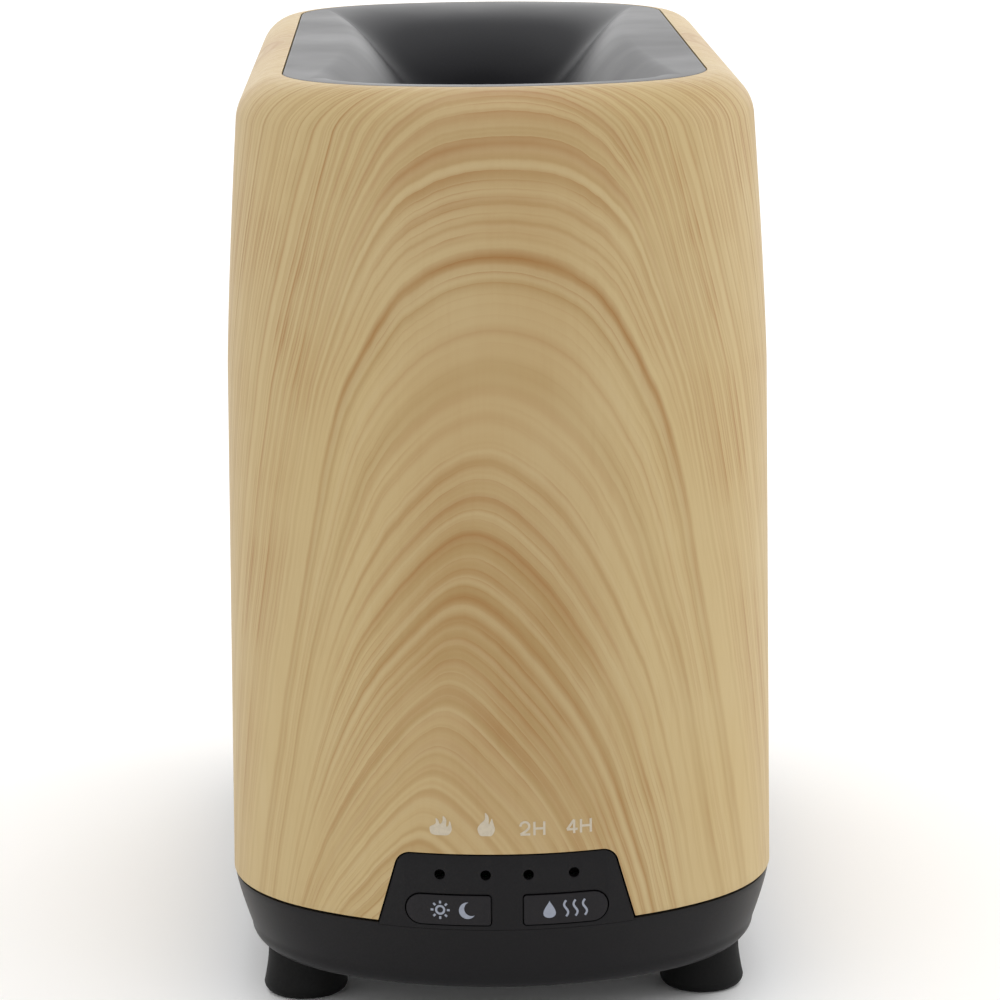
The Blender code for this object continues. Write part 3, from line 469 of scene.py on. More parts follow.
def cover_inset(z):
    rise = z - SEAM_Z
    bend = max(0.0, rise - SHOULDER_START) / (SHOULDER_END - SHOULDER_START)
    return DRAFT * rise + SHOULDER_INSET * bend ** 1.3


def rim_inset():
    return cover_inset(HEIGHT - TOP_FILLET) + TOP_FILLET


def pan_inset(z):
    drop = (SEAM_Z - z) / 0.011
    return 0.0002 + 0.0033 * max(drop, 0) ** 1.25


def spread(low, high, count):
    return [low + (high - low) * i / (count - 1) for i in range(count)]


# ---- mesh helpers ----------------------------------------------------------------------------

def add_object(name, mesh, material=None):
    item = bpy.data.objects.new(name, mesh)
    bpy.context.scene.collection.objects.link(item)
    if material is not None:
        mesh.materials.append(material)
    return item


def smooth(item, angle=38):
    item.data.shade_smooth()
    item.data.set_sharp_from_angle(angle=math.radians(angle))
    return item


def loft(name, rings, material=None, capped=True, grain=None):
    """Joins rings of equal count. grain holds two values for each ring's points and its first again."""
    mesh = bpy.data.meshes.new(name)
    bm = bmesh.new()
    layer = bm.loops.layers.uv.new("grain") if grain is not None else None
    made = [[bm.verts.new(p) for p in ring] for ring in rings]
    pairs = [(k, k + 1) for k in range(len(made) - 1)]
    if not capped:
        pairs.append((len(made) - 1, 0))
    for low, high in pairs:
        count = len(made[low])
        for i in range(count):
            j = (i + 1) % count
            face = bm.faces.new((made[low][i], made[low][j], made[high][j], made[high][i]))
            if layer is not None:
                corners = ((low, i), (low, i + 1), (high, i + 1), (high, i))
                for loop, (ring, column) in zip(face.loops, corners):
                    loop[layer].uv = (grain[0][ring][column], grain[1][ring][column])
    if capped:
        bm.faces.new(list(reversed(made[0])))
        bm.faces.new(made[-1])
    bmesh.ops.recalc_face_normals(bm, faces=bm.faces)
    bm.to_mesh(mesh)
    bm.free()
    return smooth(add_object(name, mesh, material))


def box(name, low, high, material=None):
    mesh = bpy.data.meshes.new(name)
    bm = bmesh.new()
    bmesh.ops.create_cube(bm, size=1.0)
    low, high = Vector(low), Vector(high)
    for v in bm.verts:
        v.co = (low + high) / 2 + Vector(a * b for a, b in zip(v.co, high - low))
    bm.to_mesh(mesh)
    bm.free()
    return add_object(name, mesh, material)


def cylinder(name, radius, low, high, at, steps=40, axis="Z", material=None):
    mesh = bpy.data.meshes.new(name)
    bm = bmesh.new()
    bmesh.ops.create_cone(bm, cap_ends=True, segments=steps, radius1=radius, radius2=radius, depth=high - low)
    bmesh.ops.rotate(bm, verts=bm.verts, matrix=Matrix.Rotation(math.pi / steps, 3, "Z"))
    for v in bm.verts:
        along = v.co.z + (low + high) / 2
        if axis == "Z":
            v.co = Vector((at[0] + v.co.x, at[1] + v.co.y, along))
        else:
            v.co = Vector((at[0] + v.co.x, along, at[1] + v.co.y))
    bmesh.ops.recalc_face_normals(bm, faces=bm.faces)
    bm.to_mesh(mesh)
    bm.free()
    return add_object(name, mesh, material)


def prism_y(name, outline, low_y, high_y):
    return loft(name, [[Vector((x, y, z)) for x, z in outline] for y in (low_y, high_y)])


def turned(name, profile, at, material, steps=72):
    """A solid of revolution from a (radius, z) profile that starts and ends on the axis."""
    mesh = bpy.data.meshes.new(name)
    bm = bmesh.new()
    middle = profile[1:-1]
    rings = []
    for radius, z in middle:
        ring = []
        for i in range(steps):
            a = math.tau * i / steps
            ring.append(bm.verts.new((at[0] + radius * math.cos(a), at[1] + radius * math.sin(a), z)))
        rings.append(ring)
    for upper, lower in zip(rings, rings[1:]):
        for i in range(steps):
            j = (i + 1) % steps
            bm.faces.new((lower[i], lower[j], upper[j], upper[i]))
    bm.faces.new(rings[0])
    bm.faces.new(list(reversed(rings[-1])))
    bmesh.ops.recalc_face_normals(bm, faces=bm.faces)
    bm.to_mesh(mesh)
    bm.free()
    return smooth(add_object(name, mesh, material))


def apply_modifiers(item):
    depsgraph = bpy.context.evaluated_depsgraph_get()
    evaluated = item.evaluated_get(depsgraph)
    mesh = bpy.data.meshes.new_from_object(evaluated, preserve_all_data_layers=True, depsgraph=depsgraph)
    item.modifiers.clear()
    item.data = mesh


def combine(item, steps):
    """Applies a list of (operation, tool) Booleans and removes the tools."""
    for operation, tool in steps:
        modifier = item.modifiers.new("boolean", "BOOLEAN")
        modifier.operation = operation
        modifier.solver = "EXACT"
        modifier.object = tool
    apply_modifiers(item)
    for _, tool in steps:
        bpy.data.objects.remove(tool)
    return item


def soften(item, width, segments=2, angle=40):
    """Rounds the edges left sharp by the Booleans."""
    bevel = item.modifiers.new("edges", "BEVEL")
    bevel.width = width
    bevel.segments = segments
    bevel.limit_method = "ANGLE"
    bevel.angle_limit = math.radians(angle)
    bevel.use_clamp_overlap = True
    apply_modifiers(item)
    return smooth(item)


def place_piece(item, body, slot, *nodes):
    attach(item, body)
    if nodes:
        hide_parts(*nodes)
    return item


# ---- cover -----------------------------------------------------------------------------------

def arch_peak(across, height, drift):
    """The height at which the growth line through a point peaks. across and height are in mm.

    The lines are nested arches: rounder high up, narrower and shifted sideways low down.
    """
    knee = 37.0
    quartic = 2.0e-5
    rounds = 60
    relax = 0.35
    peak = height + 0.5 * np.abs(across)
    for _ in range(rounds):
        low = np.clip(peak, 0, 135)
        centre = -drift * np.clip(1 - low / 120, 0, 1) ** 1.48
        round_top = 4.5 + 36.0 * (low / 125) ** 3.6
        slope = 1.22 - 0.26 * (low / 120) ** 3
        away = np.abs(across - centre)
        near = np.minimum(away, knee)
        drop = np.sqrt(round_top ** 2 + (slope * away) ** 2) - round_top
        drop += quartic * (near ** 4 + 4 * knee ** 3 * np.maximum(away - knee, 0))
        peak = (1 - relax) * peak + relax * (height + drop)
    return peak


def grain_field(run, height):
    """Grain over the unrolled wall, as (distance from the nearest figure's middle, field) in mm.

    Each end and each side has an arch figure, and the figures blend where they meet.
    """
    around = run[-1] / MM
    run = np.array(run)[None, :] / MM
    height = np.array(height)[:, None] / MM
    # Place round the outline, narrowing, sideways drift, stretch in height, lift
    figures = ((0.0, 1.0, 17.7, 1.0, 0.0), (0.25, 1.35, -12.0, 0.92, 9.0), (0.5, 1.0, -15.0, 0.96, 6.0),
               (0.75, 1.3, 10.0, 0.9, 4.0))
    blend = 5.0
    total = 0
    nearest = np.inf
    for place, narrow, drift, stretch, lift in figures:
        away = ((run / around - place + 0.5) % 1.0 - 0.5) * around * narrow
        nearest = np.minimum(nearest, np.abs(away) + 0 * height)
        total = total + np.exp(-(arch_peak(away, height * stretch, drift) + lift) / blend)
    return nearest, -blend * np.log(total)


def fillet_levels(radius, count):
    centre_z = HEIGHT - TOP_FILLET
    centre_inset = cover_inset(centre_z) + TOP_FILLET
    levels = []
    for i in range(count + 1):
        a = math.pi / 2 * i / count
        levels.append((centre_inset - radius * math.cos(a), centre_z + radius * math.sin(a)))
    return levels


def panel_outline(grow, low_z, corner_steps=10):
    bottom, height = PANEL_LOW.z, PANEL_HIGH.z - PANEL_LOW.z
    top = bottom + height + grow
    lean = math.atan2(PANEL_HALF_BOTTOM - PANEL_HALF_TOP, height)
    side = grow / math.cos(lean)
    half_low = PANEL_HALF_BOTTOM + side + (bottom - low_z) * math.tan(lean)
    half_top = PANEL_HALF_TOP + side - grow * math.tan(lean)
    radius = PANEL_CORNER + grow
    centre_x = half_top - radius * math.tan((math.pi / 2 - lean) / 2)
    right = [(half_low, low_z)]
    for i in range(corner_steps + 1):
        a = lean + (math.pi / 2 - lean) * i / corner_steps
        right.append((centre_x + radius * math.cos(a), top - radius + radius * math.sin(a)))
    return right + [(-x, z) for x, z in reversed(right)]


def make_cover(wood):
    edge = SOFT_EDGE
    start = [(cover_inset(SEAM_Z) + edge, SEAM_Z), (cover_inset(SEAM_Z) + edge * 0.3, SEAM_Z + edge * 0.3)]
    side = [(cover_inset(z), z) for z in spread(SEAM_Z + edge, HEIGHT - TOP_FILLET, 96)[:-1]]
    outside = start + side + fillet_levels(TOP_FILLET, 12)
    inside = list(reversed(fillet_levels(TOP_FILLET - WALL, 5)))
    inside += [(cover_inset(z) + WALL, z) for z in (0.132, 0.111, SEAM_Z)]
    heights = [0.0]
    levels = outside + inside
    for (inset_a, z_a), (inset_b, z_b) in zip(levels, levels[1:]):
        heights.append(heights[-1] + math.hypot(inset_b - inset_a, z_b - z_a))
    field = grain_field(outline_lengths(FINE), heights)
    rings = [level(inset, z, FINE) for inset, z in levels]
    shell = loft("wood_cover", rings, wood, capped=False, grain=field)
    notch = prism_y("notch", panel_outline(GAP, SEAM_Z - 0.01), *FRONT_CUT)
    combine(shell, [("DIFFERENCE", notch)])
    smooth(shell)
    return place_piece(shell, "cover", "wood_look", "outer_shell")


def mouth_half(y):
    return math.hypot(MOUTH_HALF, MOUTH_SPREAD * y / (HALF_LENGTH - rim_inset()))


def dish_rings(half_width, half_length, top, count):
    """Rings from the dish's mouth to its slot: the long sides roll over, the ends curve down."""
    mouth = []
    for x, y in body_outline(rim_inset() + 0.0015, FINE):
        limit = mouth_half(y)
        mouth.append((max(-limit, min(limit, x)), y))
    straight = half_length - half_width
    corner_y = max(abs(y) for x, y in mouth if abs(x) > mouth_half(y) * 0.999)
    slot = []
    for x, y in mouth:
        across = x / mouth_half(y)
        if abs(across) > 0.999:
            slot.append((math.copysign(half_width, x), y * straight / corner_y))
        else:
            end = straight + half_width * math.sqrt(1 - across * across)
            slot.append((half_width * across, math.copysign(end, y)))
    slope = math.hypot(1, DISH_ROLL) - DISH_ROLL
    rings = []
    for i in range(count + 1):
        drop = (i / count) ** 2
        across = math.sqrt((DISH_ROLL + drop * slope) ** 2 - DISH_ROLL ** 2)
        along = math.sqrt(1 - (1 - drop) ** 2)
        rings.append([Vector((mx + (sx - mx) * across, my + (sy - my) * along, top - DISH_DEPTH * drop))
                      for (mx, my), (sx, sy) in zip(mouth, slot)])
    return rings


def make_dish(black):
    edge = rim_inset() + 0.00015
    upper = dish_rings(SLOT_HALF, SLOT_HALF_LENGTH, HEIGHT, 36)
    upper.insert(0, [Vector((p.x * 1.008, p.y * 1.003, p.z)) for p in upper[0]])
    lower = dish_rings(SLOT_HALF + INSERT_SKIN, SLOT_HALF_LENGTH + INSERT_SKIN, HEIGHT - INSERT_SKIN, 12)
    throat = [[Vector((p.x, p.y, INSERT_LOW.z)) for p in ring] for ring in (upper[-1], lower[-1])]
    flange = [(edge + FLANGE_IN, HEIGHT - FLANGE_DROP), (edge - FLANGE_OUT, HEIGHT - FLANGE_DROP),
              (edge - FLANGE_OUT, HEIGHT - WALL - GAP), (edge, HEIGHT - WALL - GAP)]
    lip = 0.0003
    for i in range(5):
        a = math.pi / 2 * i / 4
        flange.append((edge + lip - lip * math.cos(a), HEIGHT - lip + lip * math.sin(a)))
    flange.append((edge + lip + 0.0003, HEIGHT))
    rings = upper + throat + list(reversed(lower[1:])) + [level(edge + FLANGE_IN, HEIGHT - INSERT_SKIN, FINE)]
    rings += [level(inset, z, FINE) for inset, z in flange]
    dish = loft("dish", rings, black, capped=False)
    bosses = []
    for side in (-1, 1):
        at = (0, side * GUIDE_SCREW_Y)
        bosses.append(("UNION", cylinder("boss", *GUIDE_BOSS, at)))
        bosses.append(("DIFFERENCE", cylinder("pilot", *GUIDE_PILOT, at)))
    combine(dish, bosses)
    smooth(dish)
    return place_piece(dish, "cover", "black_plastic", "top_insert")


# ---- base ------------------------------------------------------------------------------------

CORNERS = {"front_left": (-1, -1), "front_right": (1, -1), "rear_left": (-1, 1), "rear_right": (1, 1)}


def round_slot(name, x, y, half_x, half_y, steps=6):
    ring = []
    for side in (1, -1):
        for i in range(2 * steps + 1):
            a = math.pi * i / (2 * steps) + (0 if side > 0 else math.pi)
            ring.append((x + half_x * math.cos(a), y + side * (half_y - half_x) + half_x * math.sin(a)))
    return loft(name, [[Vector((px, py, z)) for px, py in ring] for z in (0.006, 0.013)])


def make_base(black):
    rim_centre = pan_inset(PAN_RIM_Z) + PAN_RIM
    outside = []
    for i in range(10):
        a = math.pi / 2 * i / 10
        outside.append((rim_centre - PAN_RIM * math.sin(a), PAN_RIM_Z - PAN_RIM * math.cos(a)))
    edge = SOFT_EDGE
    outside += [(pan_inset(z), z) for z in spread(PAN_RIM_Z, PAN_HIGH.z - edge, 14)]
    outside += [(pan_inset(PAN_HIGH.z) + edge * 0.3, PAN_HIGH.z - edge * 0.3),
                (pan_inset(PAN_HIGH.z) + edge, PAN_HIGH.z)]
    inside = [(pan_inset(z) + WALL, z) for z in (PAN_HIGH.z, 0.0145)]
    inside.append((pan_inset(PAN_RIM_Z) + 0.0035, PAN_FLOOR))
    pan = loft("base", [level(i, z, FINE) for i, z in outside + inside], black)
    steps = []
    for sx, sy in CORNERS.values():
        at = (sx * SCREW_AT[0], sy * SCREW_AT[1])
        steps.append(("UNION", cylinder("boss", *PAN_BOSS, at)))
        steps.append(("DIFFERENCE", cylinder("counterbore", *PAN_COUNTERBORE, at)))
        steps.append(("DIFFERENCE", cylinder("clear", *PAN_CLEARANCE, at)))
        foot = (sx * FOOT_AT[0], sy * FOOT_AT[1])
        steps.append(("DIFFERENCE", cylinder("stem", *FOOT_STEM_HOLE, foot)))
    for i in range(VENT_COUNT):
        x = (i - VENT_COUNT // 2) * VENT_STEP
        reach = math.sqrt(VENT_REACH ** 2 - x * x)
        steps.append(("DIFFERENCE", round_slot("vent", x, TOWER_Y, VENT_HALF, reach)))
    steps.append(("DIFFERENCE", cylinder("jack", *JACK_HOLE, (0, JACK_Z), axis="Y")))
    close = 0.00006
    notch = prism_y("notch", panel_outline(close, PANEL_LOW.z - close), *FRONT_CUT)
    steps.append(("DIFFERENCE", notch))
    combine(pan, steps)
    smooth(pan)
    return place_piece(pan, "base", "black_plastic", "base_pan")


def make_feet(rubber):
    for name in CORNERS:
        low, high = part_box(f"foot_{name}")
        radius = (high.x - low.x) / 2
        at = ((high.x + low.x) / 2, (high.y + low.y) / 2)
        top = PAN_LOW.z - GAP
        bottom = 0.0017
        profile = [(0, high.z), (0.0019, high.z), (0.0025, high.z - 0.001), (0.0025, top), (0.0060, top)]
        profile += [(FOOT_BOSS - 0.0001, top - 0.0002), (FOOT_BOSS, top - 0.0006)]
        neck = top - 0.0010
        for i in range(7):
            t = i / 6
            profile.append((FOOT_BOSS + (radius - FOOT_BOSS) * t ** 1.4, neck + (bottom - neck) * t))
        for i in range(1, 9):
            a = math.pi / 2 * i / 8
            profile.append((radius - bottom + bottom * math.cos(a), bottom - bottom * math.sin(a)))
        profile.append((0, 0))
        foot = turned(f"rubber_foot_{name}", profile, at, rubber)
        place_piece(foot, "base", "rubber", f"foot_{name}")


def make_tank(black):
    inner = SKIRT_INSET + TANK_WALL
    lip = 0.0006
    levels = [(inner, TANK_UNDER), (inner, TANK_LOW.z), (SKIRT_INSET, TANK_LOW.z)]
    levels += [(SKIRT_INSET, z) for z in spread(TANK_LOW.z + 0.001, TANK_TOP - 0.0005, 6)[:-1]]
    levels += [(SKIRT_INSET, TANK_TOP - lip), (SKIRT_INSET + lip * 0.3, TANK_TOP - lip * 0.3),
               (SKIRT_INSET + lip, TANK_TOP), (inner - lip / 2, TANK_TOP), (inner, TANK_TOP - lip / 2)]
    fillet = 0.003
    for i in range(7):
        a = math.pi / 2 * i / 6
        levels.append((inner + fillet - fillet * math.cos(a), TANK_FLOOR + fillet - fillet * math.sin(a)))
    tank = loft("water_tank", [level(i, z, PLAIN) for i, z in levels], black)
    steps = []
    for sx, sy in CORNERS.values():
        at = (sx * SCREW_AT[0], sy * SCREW_AT[1])
        steps.append(("UNION", cylinder("boss", *TANK_BOSS, at)))
        steps.append(("DIFFERENCE", cylinder("pilot", *TANK_PILOT, at)))
    steps.append(("UNION", cylinder("tower", *TOWER, (0, TOWER_Y), 64)))
    steps.append(("DIFFERENCE", cylinder("tower_bore", *TOWER_BORE, (0, TOWER_Y), 64)))
    steps.append(("UNION", cylinder("well", *WELL, (0, 0), 64)))
    steps.append(("DIFFERENCE", cylinder("seat", *WELL_SEAT, (0, 0), 64)))
    steps.append(("DIFFERENCE", cylinder("port", *MIST_PORT, (0, 0), 64)))
    steps.append(("DIFFERENCE", cylinder("lens_port", *LENS_PORT, (0, LENS_Y), 64)))
    window = box("window", (-0.0195, -0.11, PANEL_LOW.z + 0.0003), (0.0195, -0.086, 0.0322))
    steps.append(("DIFFERENCE", window))
    combine(tank, steps)
    smooth(tank)
    return place_piece(tank, "base", "black_plastic", "tank_body")


# ---- panel -----------------------------------------------------------------------------------

def front_slab(name, outer, inner, low_z, high_z, half_x, material=None, steps=60):
    xs = spread(-half_x, half_x, steps + 1)

    def ring(z):
        face = [Vector((x, front_y(x, outer), z)) for x in xs]
        back = [Vector((x, front_y(x, inner), z)) for x in reversed(xs)]
        return face + back

    return loft(name, [ring(low_z), ring(high_z)], material)


def button_outline(side, grow, steps=24):
    half_z = BUTTON_HEIGHT / 2 + grow
    inner = BUTTON_X - BUTTON_LENGTH / 2 - grow
    centre = BUTTON_X + BUTTON_LENGTH / 2 - BUTTON_HEIGHT / 2
    corner = 0.00045 + grow
    points = arc_points(inner + corner, BUTTON_Z - half_z + corner, corner, math.pi, math.pi / 2, 4)
    points += arc_points(centre, BUTTON_Z, half_z, -math.pi / 2, math.pi, steps)
    points += arc_points(inner + corner, BUTTON_Z + half_z - corner, corner, math.pi / 2, math.pi / 2, 4)
    if side < 0:
        points = [(-x, z) for x, z in reversed(points)]
    return points


def make_panel(black):
    panel = front_slab("panel", PANEL_FACE, PANEL_BACK, PANEL_LOW.z, 0.036, 0.026, black)
    steps = [("INTERSECT", prism_y("shape", panel_outline(0, PANEL_LOW.z - 0.001), *FRONT_CUT))]
    for side in (-1, 1):
        steps.append(("DIFFERENCE", prism_y("window", button_outline(side, KEY_GAP), *FRONT_CUT)))
    for x in LED_X:
        steps.append(("DIFFERENCE", cylinder("led", LED_HOLE, *FRONT_CUT, (x, LED_Z), 32, axis="Y")))
    combine(panel, steps)
    soften(panel, 0.00022, 2, 50)
    return place_piece(panel, "base", "black_plastic", "control_panel")


def make_key(name, side, body, material):
    key = front_slab(f"{name}_cap", KEY_FACE, KEY_BACK, 0.018, 0.030, 0.019, material)
    combine(key, [("INTERSECT", prism_y("shape", button_outline(side, 0), *FRONT_CUT))])
    soften(key, 0.00055, 4, 50)
    flange = front_slab("flange", PANEL_BACK + GAP, KEY_BACK + 0.0001, PANEL_LOW.z + 0.0006, 0.0272, 0.019)
    low = side * (BUTTON_X - BUTTON_LENGTH / 2 - 0.0008)
    high = side * (BUTTON_X + BUTTON_LENGTH / 2 + 0.0008)
    limit = box("limit", (min(low, high), FRONT_CUT[0], 0.018), (max(low, high), FRONT_CUT[1], 0.030))
    combine(flange, [("INTERSECT", limit)])
    stem = cylinder("stem", *KEY_STEM, (side * BUTTON_X, BUTTON_Z), 24, axis="Y")
    combine(key, [("UNION", flange), ("UNION", stem)])
    smooth(key)
    return place_piece(key, body, "key_plastic", name)


# ---- printed marks ---------------------------------------------------------------------------

INK = 0.00004


def ribbon(bm, points, width, inset, closed=False):
    """A thin printed stroke along points in X and Z, laid on the bowed front."""
    count = len(points)
    sides = []
    for i, (x, z) in enumerate(points):
        ahead = points[(i + 1) % count] if closed else points[min(i + 1, count - 1)]
        behind = points[i - 1] if closed else points[max(i - 1, 0)]
        along = Vector((ahead[0] - behind[0], ahead[1] - behind[1])).normalized()
        off = Vector((-along.y, along.x)) * width / 2
        section = []
        for sign, proud in ((1, INK), (-1, INK), (-1, -INK), (1, -INK)):
            px, pz = x + sign * off.x, z + sign * off.y
            section.append(bm.verts.new((px, front_y(px, inset) - proud, pz)))
        sides.append(section)
    following = sides[1:] + sides[:1] if closed else sides[1:]
    for a, b in zip(sides, following):
        for i in range(4):
            j = (i + 1) % 4
            bm.faces.new((a[i], a[j], b[j], b[i]))
    if not closed:
        bm.faces.new(list(reversed(sides[0])))
        bm.faces.new(sides[-1])


def blot(bm, points, inset):
    """A filled printed shape from its outline in X and Z, laid on the bowed front."""
    face = [bm.verts.new((x, front_y(x, inset) - INK, z)) for x, z in points]
    back = [bm.verts.new((x, front_y(x, inset) + INK, z)) for x, z in points]
    count = len(points)
    bm.faces.new(face)
    bm.faces.new(list(reversed(back)))
    for i in range(count):
        j = (i + 1) % count
        bm.faces.new((face[i], back[i], back[j], face[j]))


def arc_points(x, z, radius, start=0.0, turn=math.tau, steps=24):
    """Points along an arc. A full turn leaves out the last point, which would repeat the first."""
    count = steps if abs(turn) >= math.tau else steps + 1
    return [(x + radius * math.cos(start + turn * i / steps), z + radius * math.sin(start + turn * i / steps))
            for i in range(count)]


def drop_points(x, z, width, height, steps=22):
    """A drop with its tip up, standing on z."""
    points = []
    for i in range(steps):
        t = math.tau * i / steps
        across = math.sin(t) * abs(math.sin(t / 2)) ** 1.6
        points.append((x + across * width / 1.3, z + height * (1 + math.cos(t)) / 2))
    return points


def crescent_points(x, z, outer, inner, shift, tilt, steps=16):
    """A moon: the outer disc less an inner disc shifted along tilt."""
    half_outer = math.acos((shift ** 2 + outer ** 2 - inner ** 2) / (2 * shift * outer))
    half_inner = math.acos((outer ** 2 - shift ** 2 - inner ** 2) / (2 * shift * inner))
    inner_x, inner_z = x + shift * math.cos(tilt), z + shift * math.sin(tilt)
    points = arc_points(x, z, outer, tilt + half_outer, math.tau - 2 * half_outer, steps)
    back = arc_points(inner_x, inner_z, inner, tilt - half_inner, 2 * half_inner - math.tau, steps)
    return points + back[1:-1]


def flame_points(x, z, width, height, corners_at):
    """A flame's outline: its corners, in half widths and heights, cut twice so they run smoothly."""
    points = list(corners_at)
    for _ in range(2):
        cut = []
        for (ax, az), (bx, bz) in zip(points, points[1:] + points[:1]):
            cut.append((ax * 0.78 + bx * 0.22, az * 0.78 + bz * 0.22))
            cut.append((ax * 0.22 + bx * 0.78, az * 0.22 + bz * 0.78))
        points = cut
    return [(x + px * width / 2, z + pz * height) for px, pz in points]


def finish_mark(name, bm, material, body, slot):
    mesh = bpy.data.meshes.new(name)
    bmesh.ops.recalc_face_normals(bm, faces=bm.faces)
    bm.to_mesh(mesh)
    bm.free()
    return place_piece(add_object(name, mesh, material), body, slot)


KEY_MARK_STROKE = 0.00036
SUN_X = -0.0113
MOON_X = -0.0067
DROP_X = 0.0071
WAVES_X = (0.0099, 0.0115, 0.0131)


def make_key_marks(ink):
    """A sun and a moon on the light key, and a drop with rising mist on the mist key."""
    z = BUTTON_Z
    bm = bmesh.new()
    ribbon(bm, arc_points(SUN_X, z, 0.00068), KEY_MARK_STROKE, KEY_FACE, closed=True)
    for i in range(8):
        a = math.tau * i / 8
        ray = [(SUN_X + r * math.cos(a), z + r * math.sin(a)) for r in (0.00112, 0.00160)]
        ribbon(bm, ray, KEY_MARK_STROKE, KEY_FACE)
    blot(bm, crescent_points(MOON_X, z, 0.00145, 0.00125, 0.00075, math.radians(25)), KEY_FACE)
    finish_mark("light_key_mark", bm, ink, "light_key", "key_plastic")
    bm = bmesh.new()
    blot(bm, drop_points(DROP_X, z - 0.0015, 0.0020, 0.0030), KEY_FACE)
    for x in WAVES_X:
        wave = []
        for i in range(19):
            t = i / 18
            wave.append((x + 0.00034 * math.sin(math.tau * t), z - 0.0014 + 0.0028 * t))
        ribbon(bm, wave, KEY_MARK_STROKE, KEY_FACE)
    finish_mark("mist_key_mark", bm, ink, "mist_key", "key_plastic")


COVER_MARK_Z = SEAM_Z + 0.0158
FIGURE_HEIGHT = 0.00235
FIGURE_WIDTH = 0.00165
FIGURE_SPACE = 0.0007
FIGURE_STROKE = 0.00040
HIGH_FLAME_X = -0.01105
LOW_FLAME_X = -0.00345
TWO_X = 0.0023
FOUR_X = 0.01015
THREE_TONGUES = ((0, 0), (0.75, 0), (1.1, 0.3), (0.98, 0.7), (0.85, 0.85), (0.72, 0.5), (0.5, 0.5),
                 (0.6, 0.9), (0.2, 1.15), (0.2, 0.75), (-0.1, 0.6), (-0.2, 0.85), (-0.5, 1.0),
                 (-0.42, 0.65), (-0.75, 0.55), (-1.1, 0.45), (-1.0, 0.1), (-0.6, 0))
TWO_TONGUES = ((0, 0), (0.7, 0), (1.1, 0.3), (0.85, 0.6), (0.7, 0.85), (0.45, 0.6), (0.3, 0.5),
               (0.35, 0.9), (-0.15, 1.12), (-0.1, 0.75), (-0.6, 0.6), (-1.1, 0.35), (-0.75, 0))


def make_cover_marks(ink):
    """Two flame marks and two timer marks over the indicator holes."""
    z = COVER_MARK_Z
    inset = cover_inset(z + FIGURE_HEIGHT / 2)
    bm = bmesh.new()
    blot(bm, flame_points(HIGH_FLAME_X, z, 0.0035, 0.0031, THREE_TONGUES), inset)
    finish_mark("flame_mark_high", bm, ink, "cover", "wood_look")
    bm = bmesh.new()
    blot(bm, flame_points(LOW_FLAME_X, z, 0.00285, 0.0038, TWO_TONGUES), inset)
    finish_mark("flame_mark_low", bm, ink, "cover", "wood_look")
    bm = bmesh.new()
    left = TWO_X
    bowl = FIGURE_WIDTH * 0.45
    foot = z + FIGURE_STROKE / 2
    two = arc_points(left + bowl, z + FIGURE_HEIGHT - bowl, bowl, math.pi, -math.pi * 1.2, 12)
    two += [(left + FIGURE_WIDTH * 0.5, z + FIGURE_HEIGHT * 0.3), (left, foot)]
    ribbon(bm, two, FIGURE_STROKE, inset)
    ribbon(bm, [(left, foot), (left + FIGURE_WIDTH, foot)], FIGURE_STROKE, inset)
    letter_h(bm, left + FIGURE_WIDTH + FIGURE_SPACE, z, inset)
    finish_mark("timer_mark_2h", bm, ink, "cover", "wood_look")
    bm = bmesh.new()
    left = FOUR_X
    post = left + FIGURE_WIDTH * 0.72
    bar_z = z + FIGURE_HEIGHT * 0.3
    ribbon(bm, [(post, z), (post, z + FIGURE_HEIGHT)], FIGURE_STROKE, inset)
    ribbon(bm, [(post, z + FIGURE_HEIGHT), (left, bar_z)], FIGURE_STROKE, inset)
    ribbon(bm, [(left, bar_z), (left + FIGURE_WIDTH * 1.08, bar_z)], FIGURE_STROKE, inset)
    letter_h(bm, left + FIGURE_WIDTH + FIGURE_SPACE, z, inset)
    finish_mark("timer_mark_4h", bm, ink, "cover", "wood_look")


def letter_h(bm, left, z, inset):
    for x in (left, left + FIGURE_WIDTH):
        ribbon(bm, [(x, z), (x, z + FIGURE_HEIGHT)], FIGURE_STROKE, inset)
    middle = z + FIGURE_HEIGHT / 2
    ribbon(bm, [(left, middle), (left + FIGURE_WIDTH, middle)], FIGURE_STROKE, inset)


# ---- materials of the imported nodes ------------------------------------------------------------

def dress_nodes(black, steel, board, clear, smoked, rubber):
    white = moulded_material("silicone_grey", (0.42, 0.42, 0.40, 1), 0.55, 0.05)
    ceramic = moulded_material("silvered_ceramic", (0.55, 0.53, 0.48, 1), 0.35, 0.05, specular=0.7)
    finned = metal_material("extruded_aluminium", (0.70, 0.70, 0.71, 1), 0.34, (1, 1, 0.05))
    lead = moulded_material("lead_insulation", (0.55, 0.54, 0.51, 1), 0.45, 0.04)
    sleeve = moulded_material("capacitor_sleeve", (0.015, 0.02, 0.06, 1), 0.3, 0.03)
    by_slot = {"black_plastic": black, "key_plastic": black, "rubber": rubber, "silicone": white,
               "ceramic": ceramic, "lead_insulation": lead, "clear_lens": clear, "circuit_board": board,
               "aluminium": finned, "ferrite": winding_material(), "steel": steel, "wood_look": black}
    by_node = {"capacitor": sleeve}
    for i in range(4):
        by_node[f"indicator_led_{i + 1}"] = smoked
    slots = {part["node"]: part["material_slot"] for part in frame["record"]["subparts"]}
    for name, item in frame["nodes"].items():
        material = by_node.get(name, by_slot[slots[name]])
        item.data.materials.clear()
        item.data.materials.append(material)


# ---- studio ----------------------------------------------------------------------------------

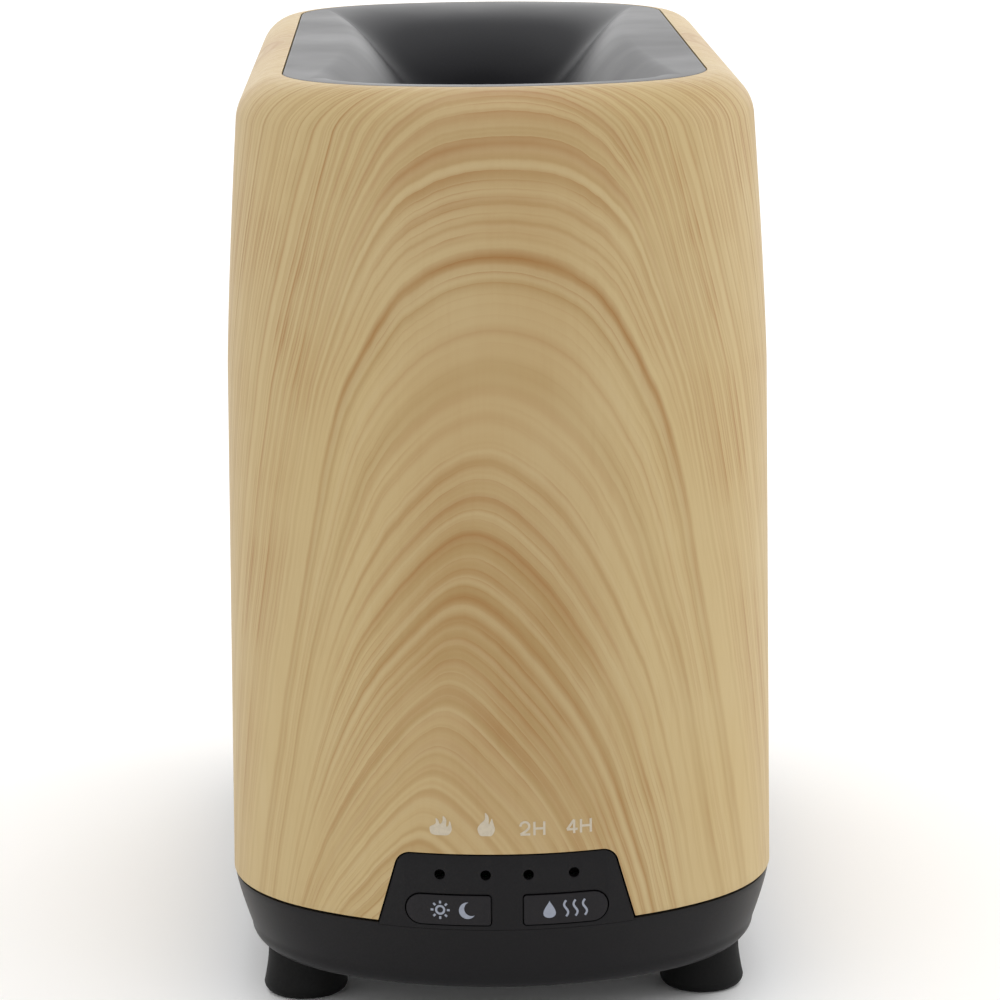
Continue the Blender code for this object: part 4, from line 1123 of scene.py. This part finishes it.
def make_stage():
    """A wide, plain, pale floor."""
    nodes = Nodes("pale_floor")
    cloud = nodes.noise(nodes.place, 6, 2.0)
    shade = nodes.rescale(cloud, 0.3, 0.7)
    nodes.set(Base_Color=nodes.mix(shade, (0.94, 0.94, 0.94, 1), (0.96, 0.96, 0.96, 1)))
    nodes.set(Roughness=0.8, Specular_IOR_Level=0.1)
    mesh = bpy.data.meshes.new("floor")
    bm = bmesh.new()
    bmesh.ops.create_grid(bm, x_segments=8, y_segments=8, size=6.0)
    bm.to_mesh(mesh)
    bm.free()
    add_object("floor", mesh, nodes.material)


def area_light(name, at, target, size, power, colour=(1, 1, 1)):
    data = bpy.data.lights.new(name, "AREA")
    data.shape = "RECTANGLE"
    data.size, data.size_y = size
    data.energy = power
    data.color = colour
    item = bpy.data.objects.new(name, data)
    bpy.context.scene.collection.objects.link(item)
    item.location = at
    item.rotation_euler = (Vector(target) - Vector(at)).to_track_quat("-Z", "Y").to_euler()


def make_lights():
    """Soft light from above and behind, softer from the sides, and a dimmer room in front."""
    world = bpy.data.worlds.new("studio")
    world.use_nodes = True
    background = world.node_tree.nodes["Background"]
    background.inputs["Color"].default_value = (1.0, 1.0, 1.0, 1)
    background.inputs["Strength"].default_value = 0.80
    bpy.context.scene.world = world
    aim = (0, 0, 0.08)
    area_light("backdrop", (0.0, 2.7, 1.1), (0, 0, 0.7), (4.5, 2.0), 30)
    area_light("top", (0.0, 0.1, 1.8), aim, (2.0, 2.0), 12)
    area_light("left", (-1.4, 0.25, 0.5), aim, (0.9, 0.9), 1.5)
    area_light("right", (1.4, 0.25, 0.5), aim, (0.9, 0.9), 5.0)
    bpy.context.scene.view_settings.view_transform = "Standard"


def make_camera():
    data = bpy.data.cameras.new("camera")
    data.sensor_width = 36
    data.lens = CAMERA_LENS
    item = bpy.data.objects.new("camera", data)
    bpy.context.scene.collection.objects.link(item)
    turn = Matrix.Rotation(-CAMERA_RIGHT, 3, "Z") @ Matrix.Rotation(math.pi / 2 - CAMERA_DOWN, 3, "X")
    item.rotation_euler = (turn @ Matrix.Rotation(CAMERA_ROLL, 3, "Z")).to_euler()
    item.location = CAMERA_AT
    bpy.context.scene.camera = item


make_camera()
make_stage()
make_lights()
wood_print = wood_material()
matt_black = moulded_material("matt_black", srgb(20, 19, 21), 0.40, specular=0.18)
dish_black = moulded_material("dish_black", srgb(20, 20, 24), 0.38, 0.03, specular=0.14, patch=0.08)
key_black = moulded_material("key_black", srgb(24, 22, 25), 0.34, 0.05, specular=0.22)
rubber_black = moulded_material("rubber_black", srgb(20, 20, 20), 0.6, 0.14, 1800, specular=0.15)
steel_plain = metal_material("plated_steel", (0.60, 0.60, 0.61, 1), 0.28)
dress_nodes(matt_black, steel_plain, board_material(), clear_material(),
            moulded_material("smoked_lens", srgb(16, 8, 9), 0.25, 0.02), rubber_black)
make_cover(wood_print)
make_dish(dish_black)
make_base(matt_black)
make_feet(rubber_black)
make_tank(matt_black)
make_panel(matt_black)
make_key("light_button", -1, "light_key", key_black)
make_key("mist_button", 1, "mist_key", key_black)
make_key_marks(printed_material("key_ink", srgb(150, 156, 170)))
make_cover_marks(printed_material("cover_ink", srgb(200, 188, 166)))
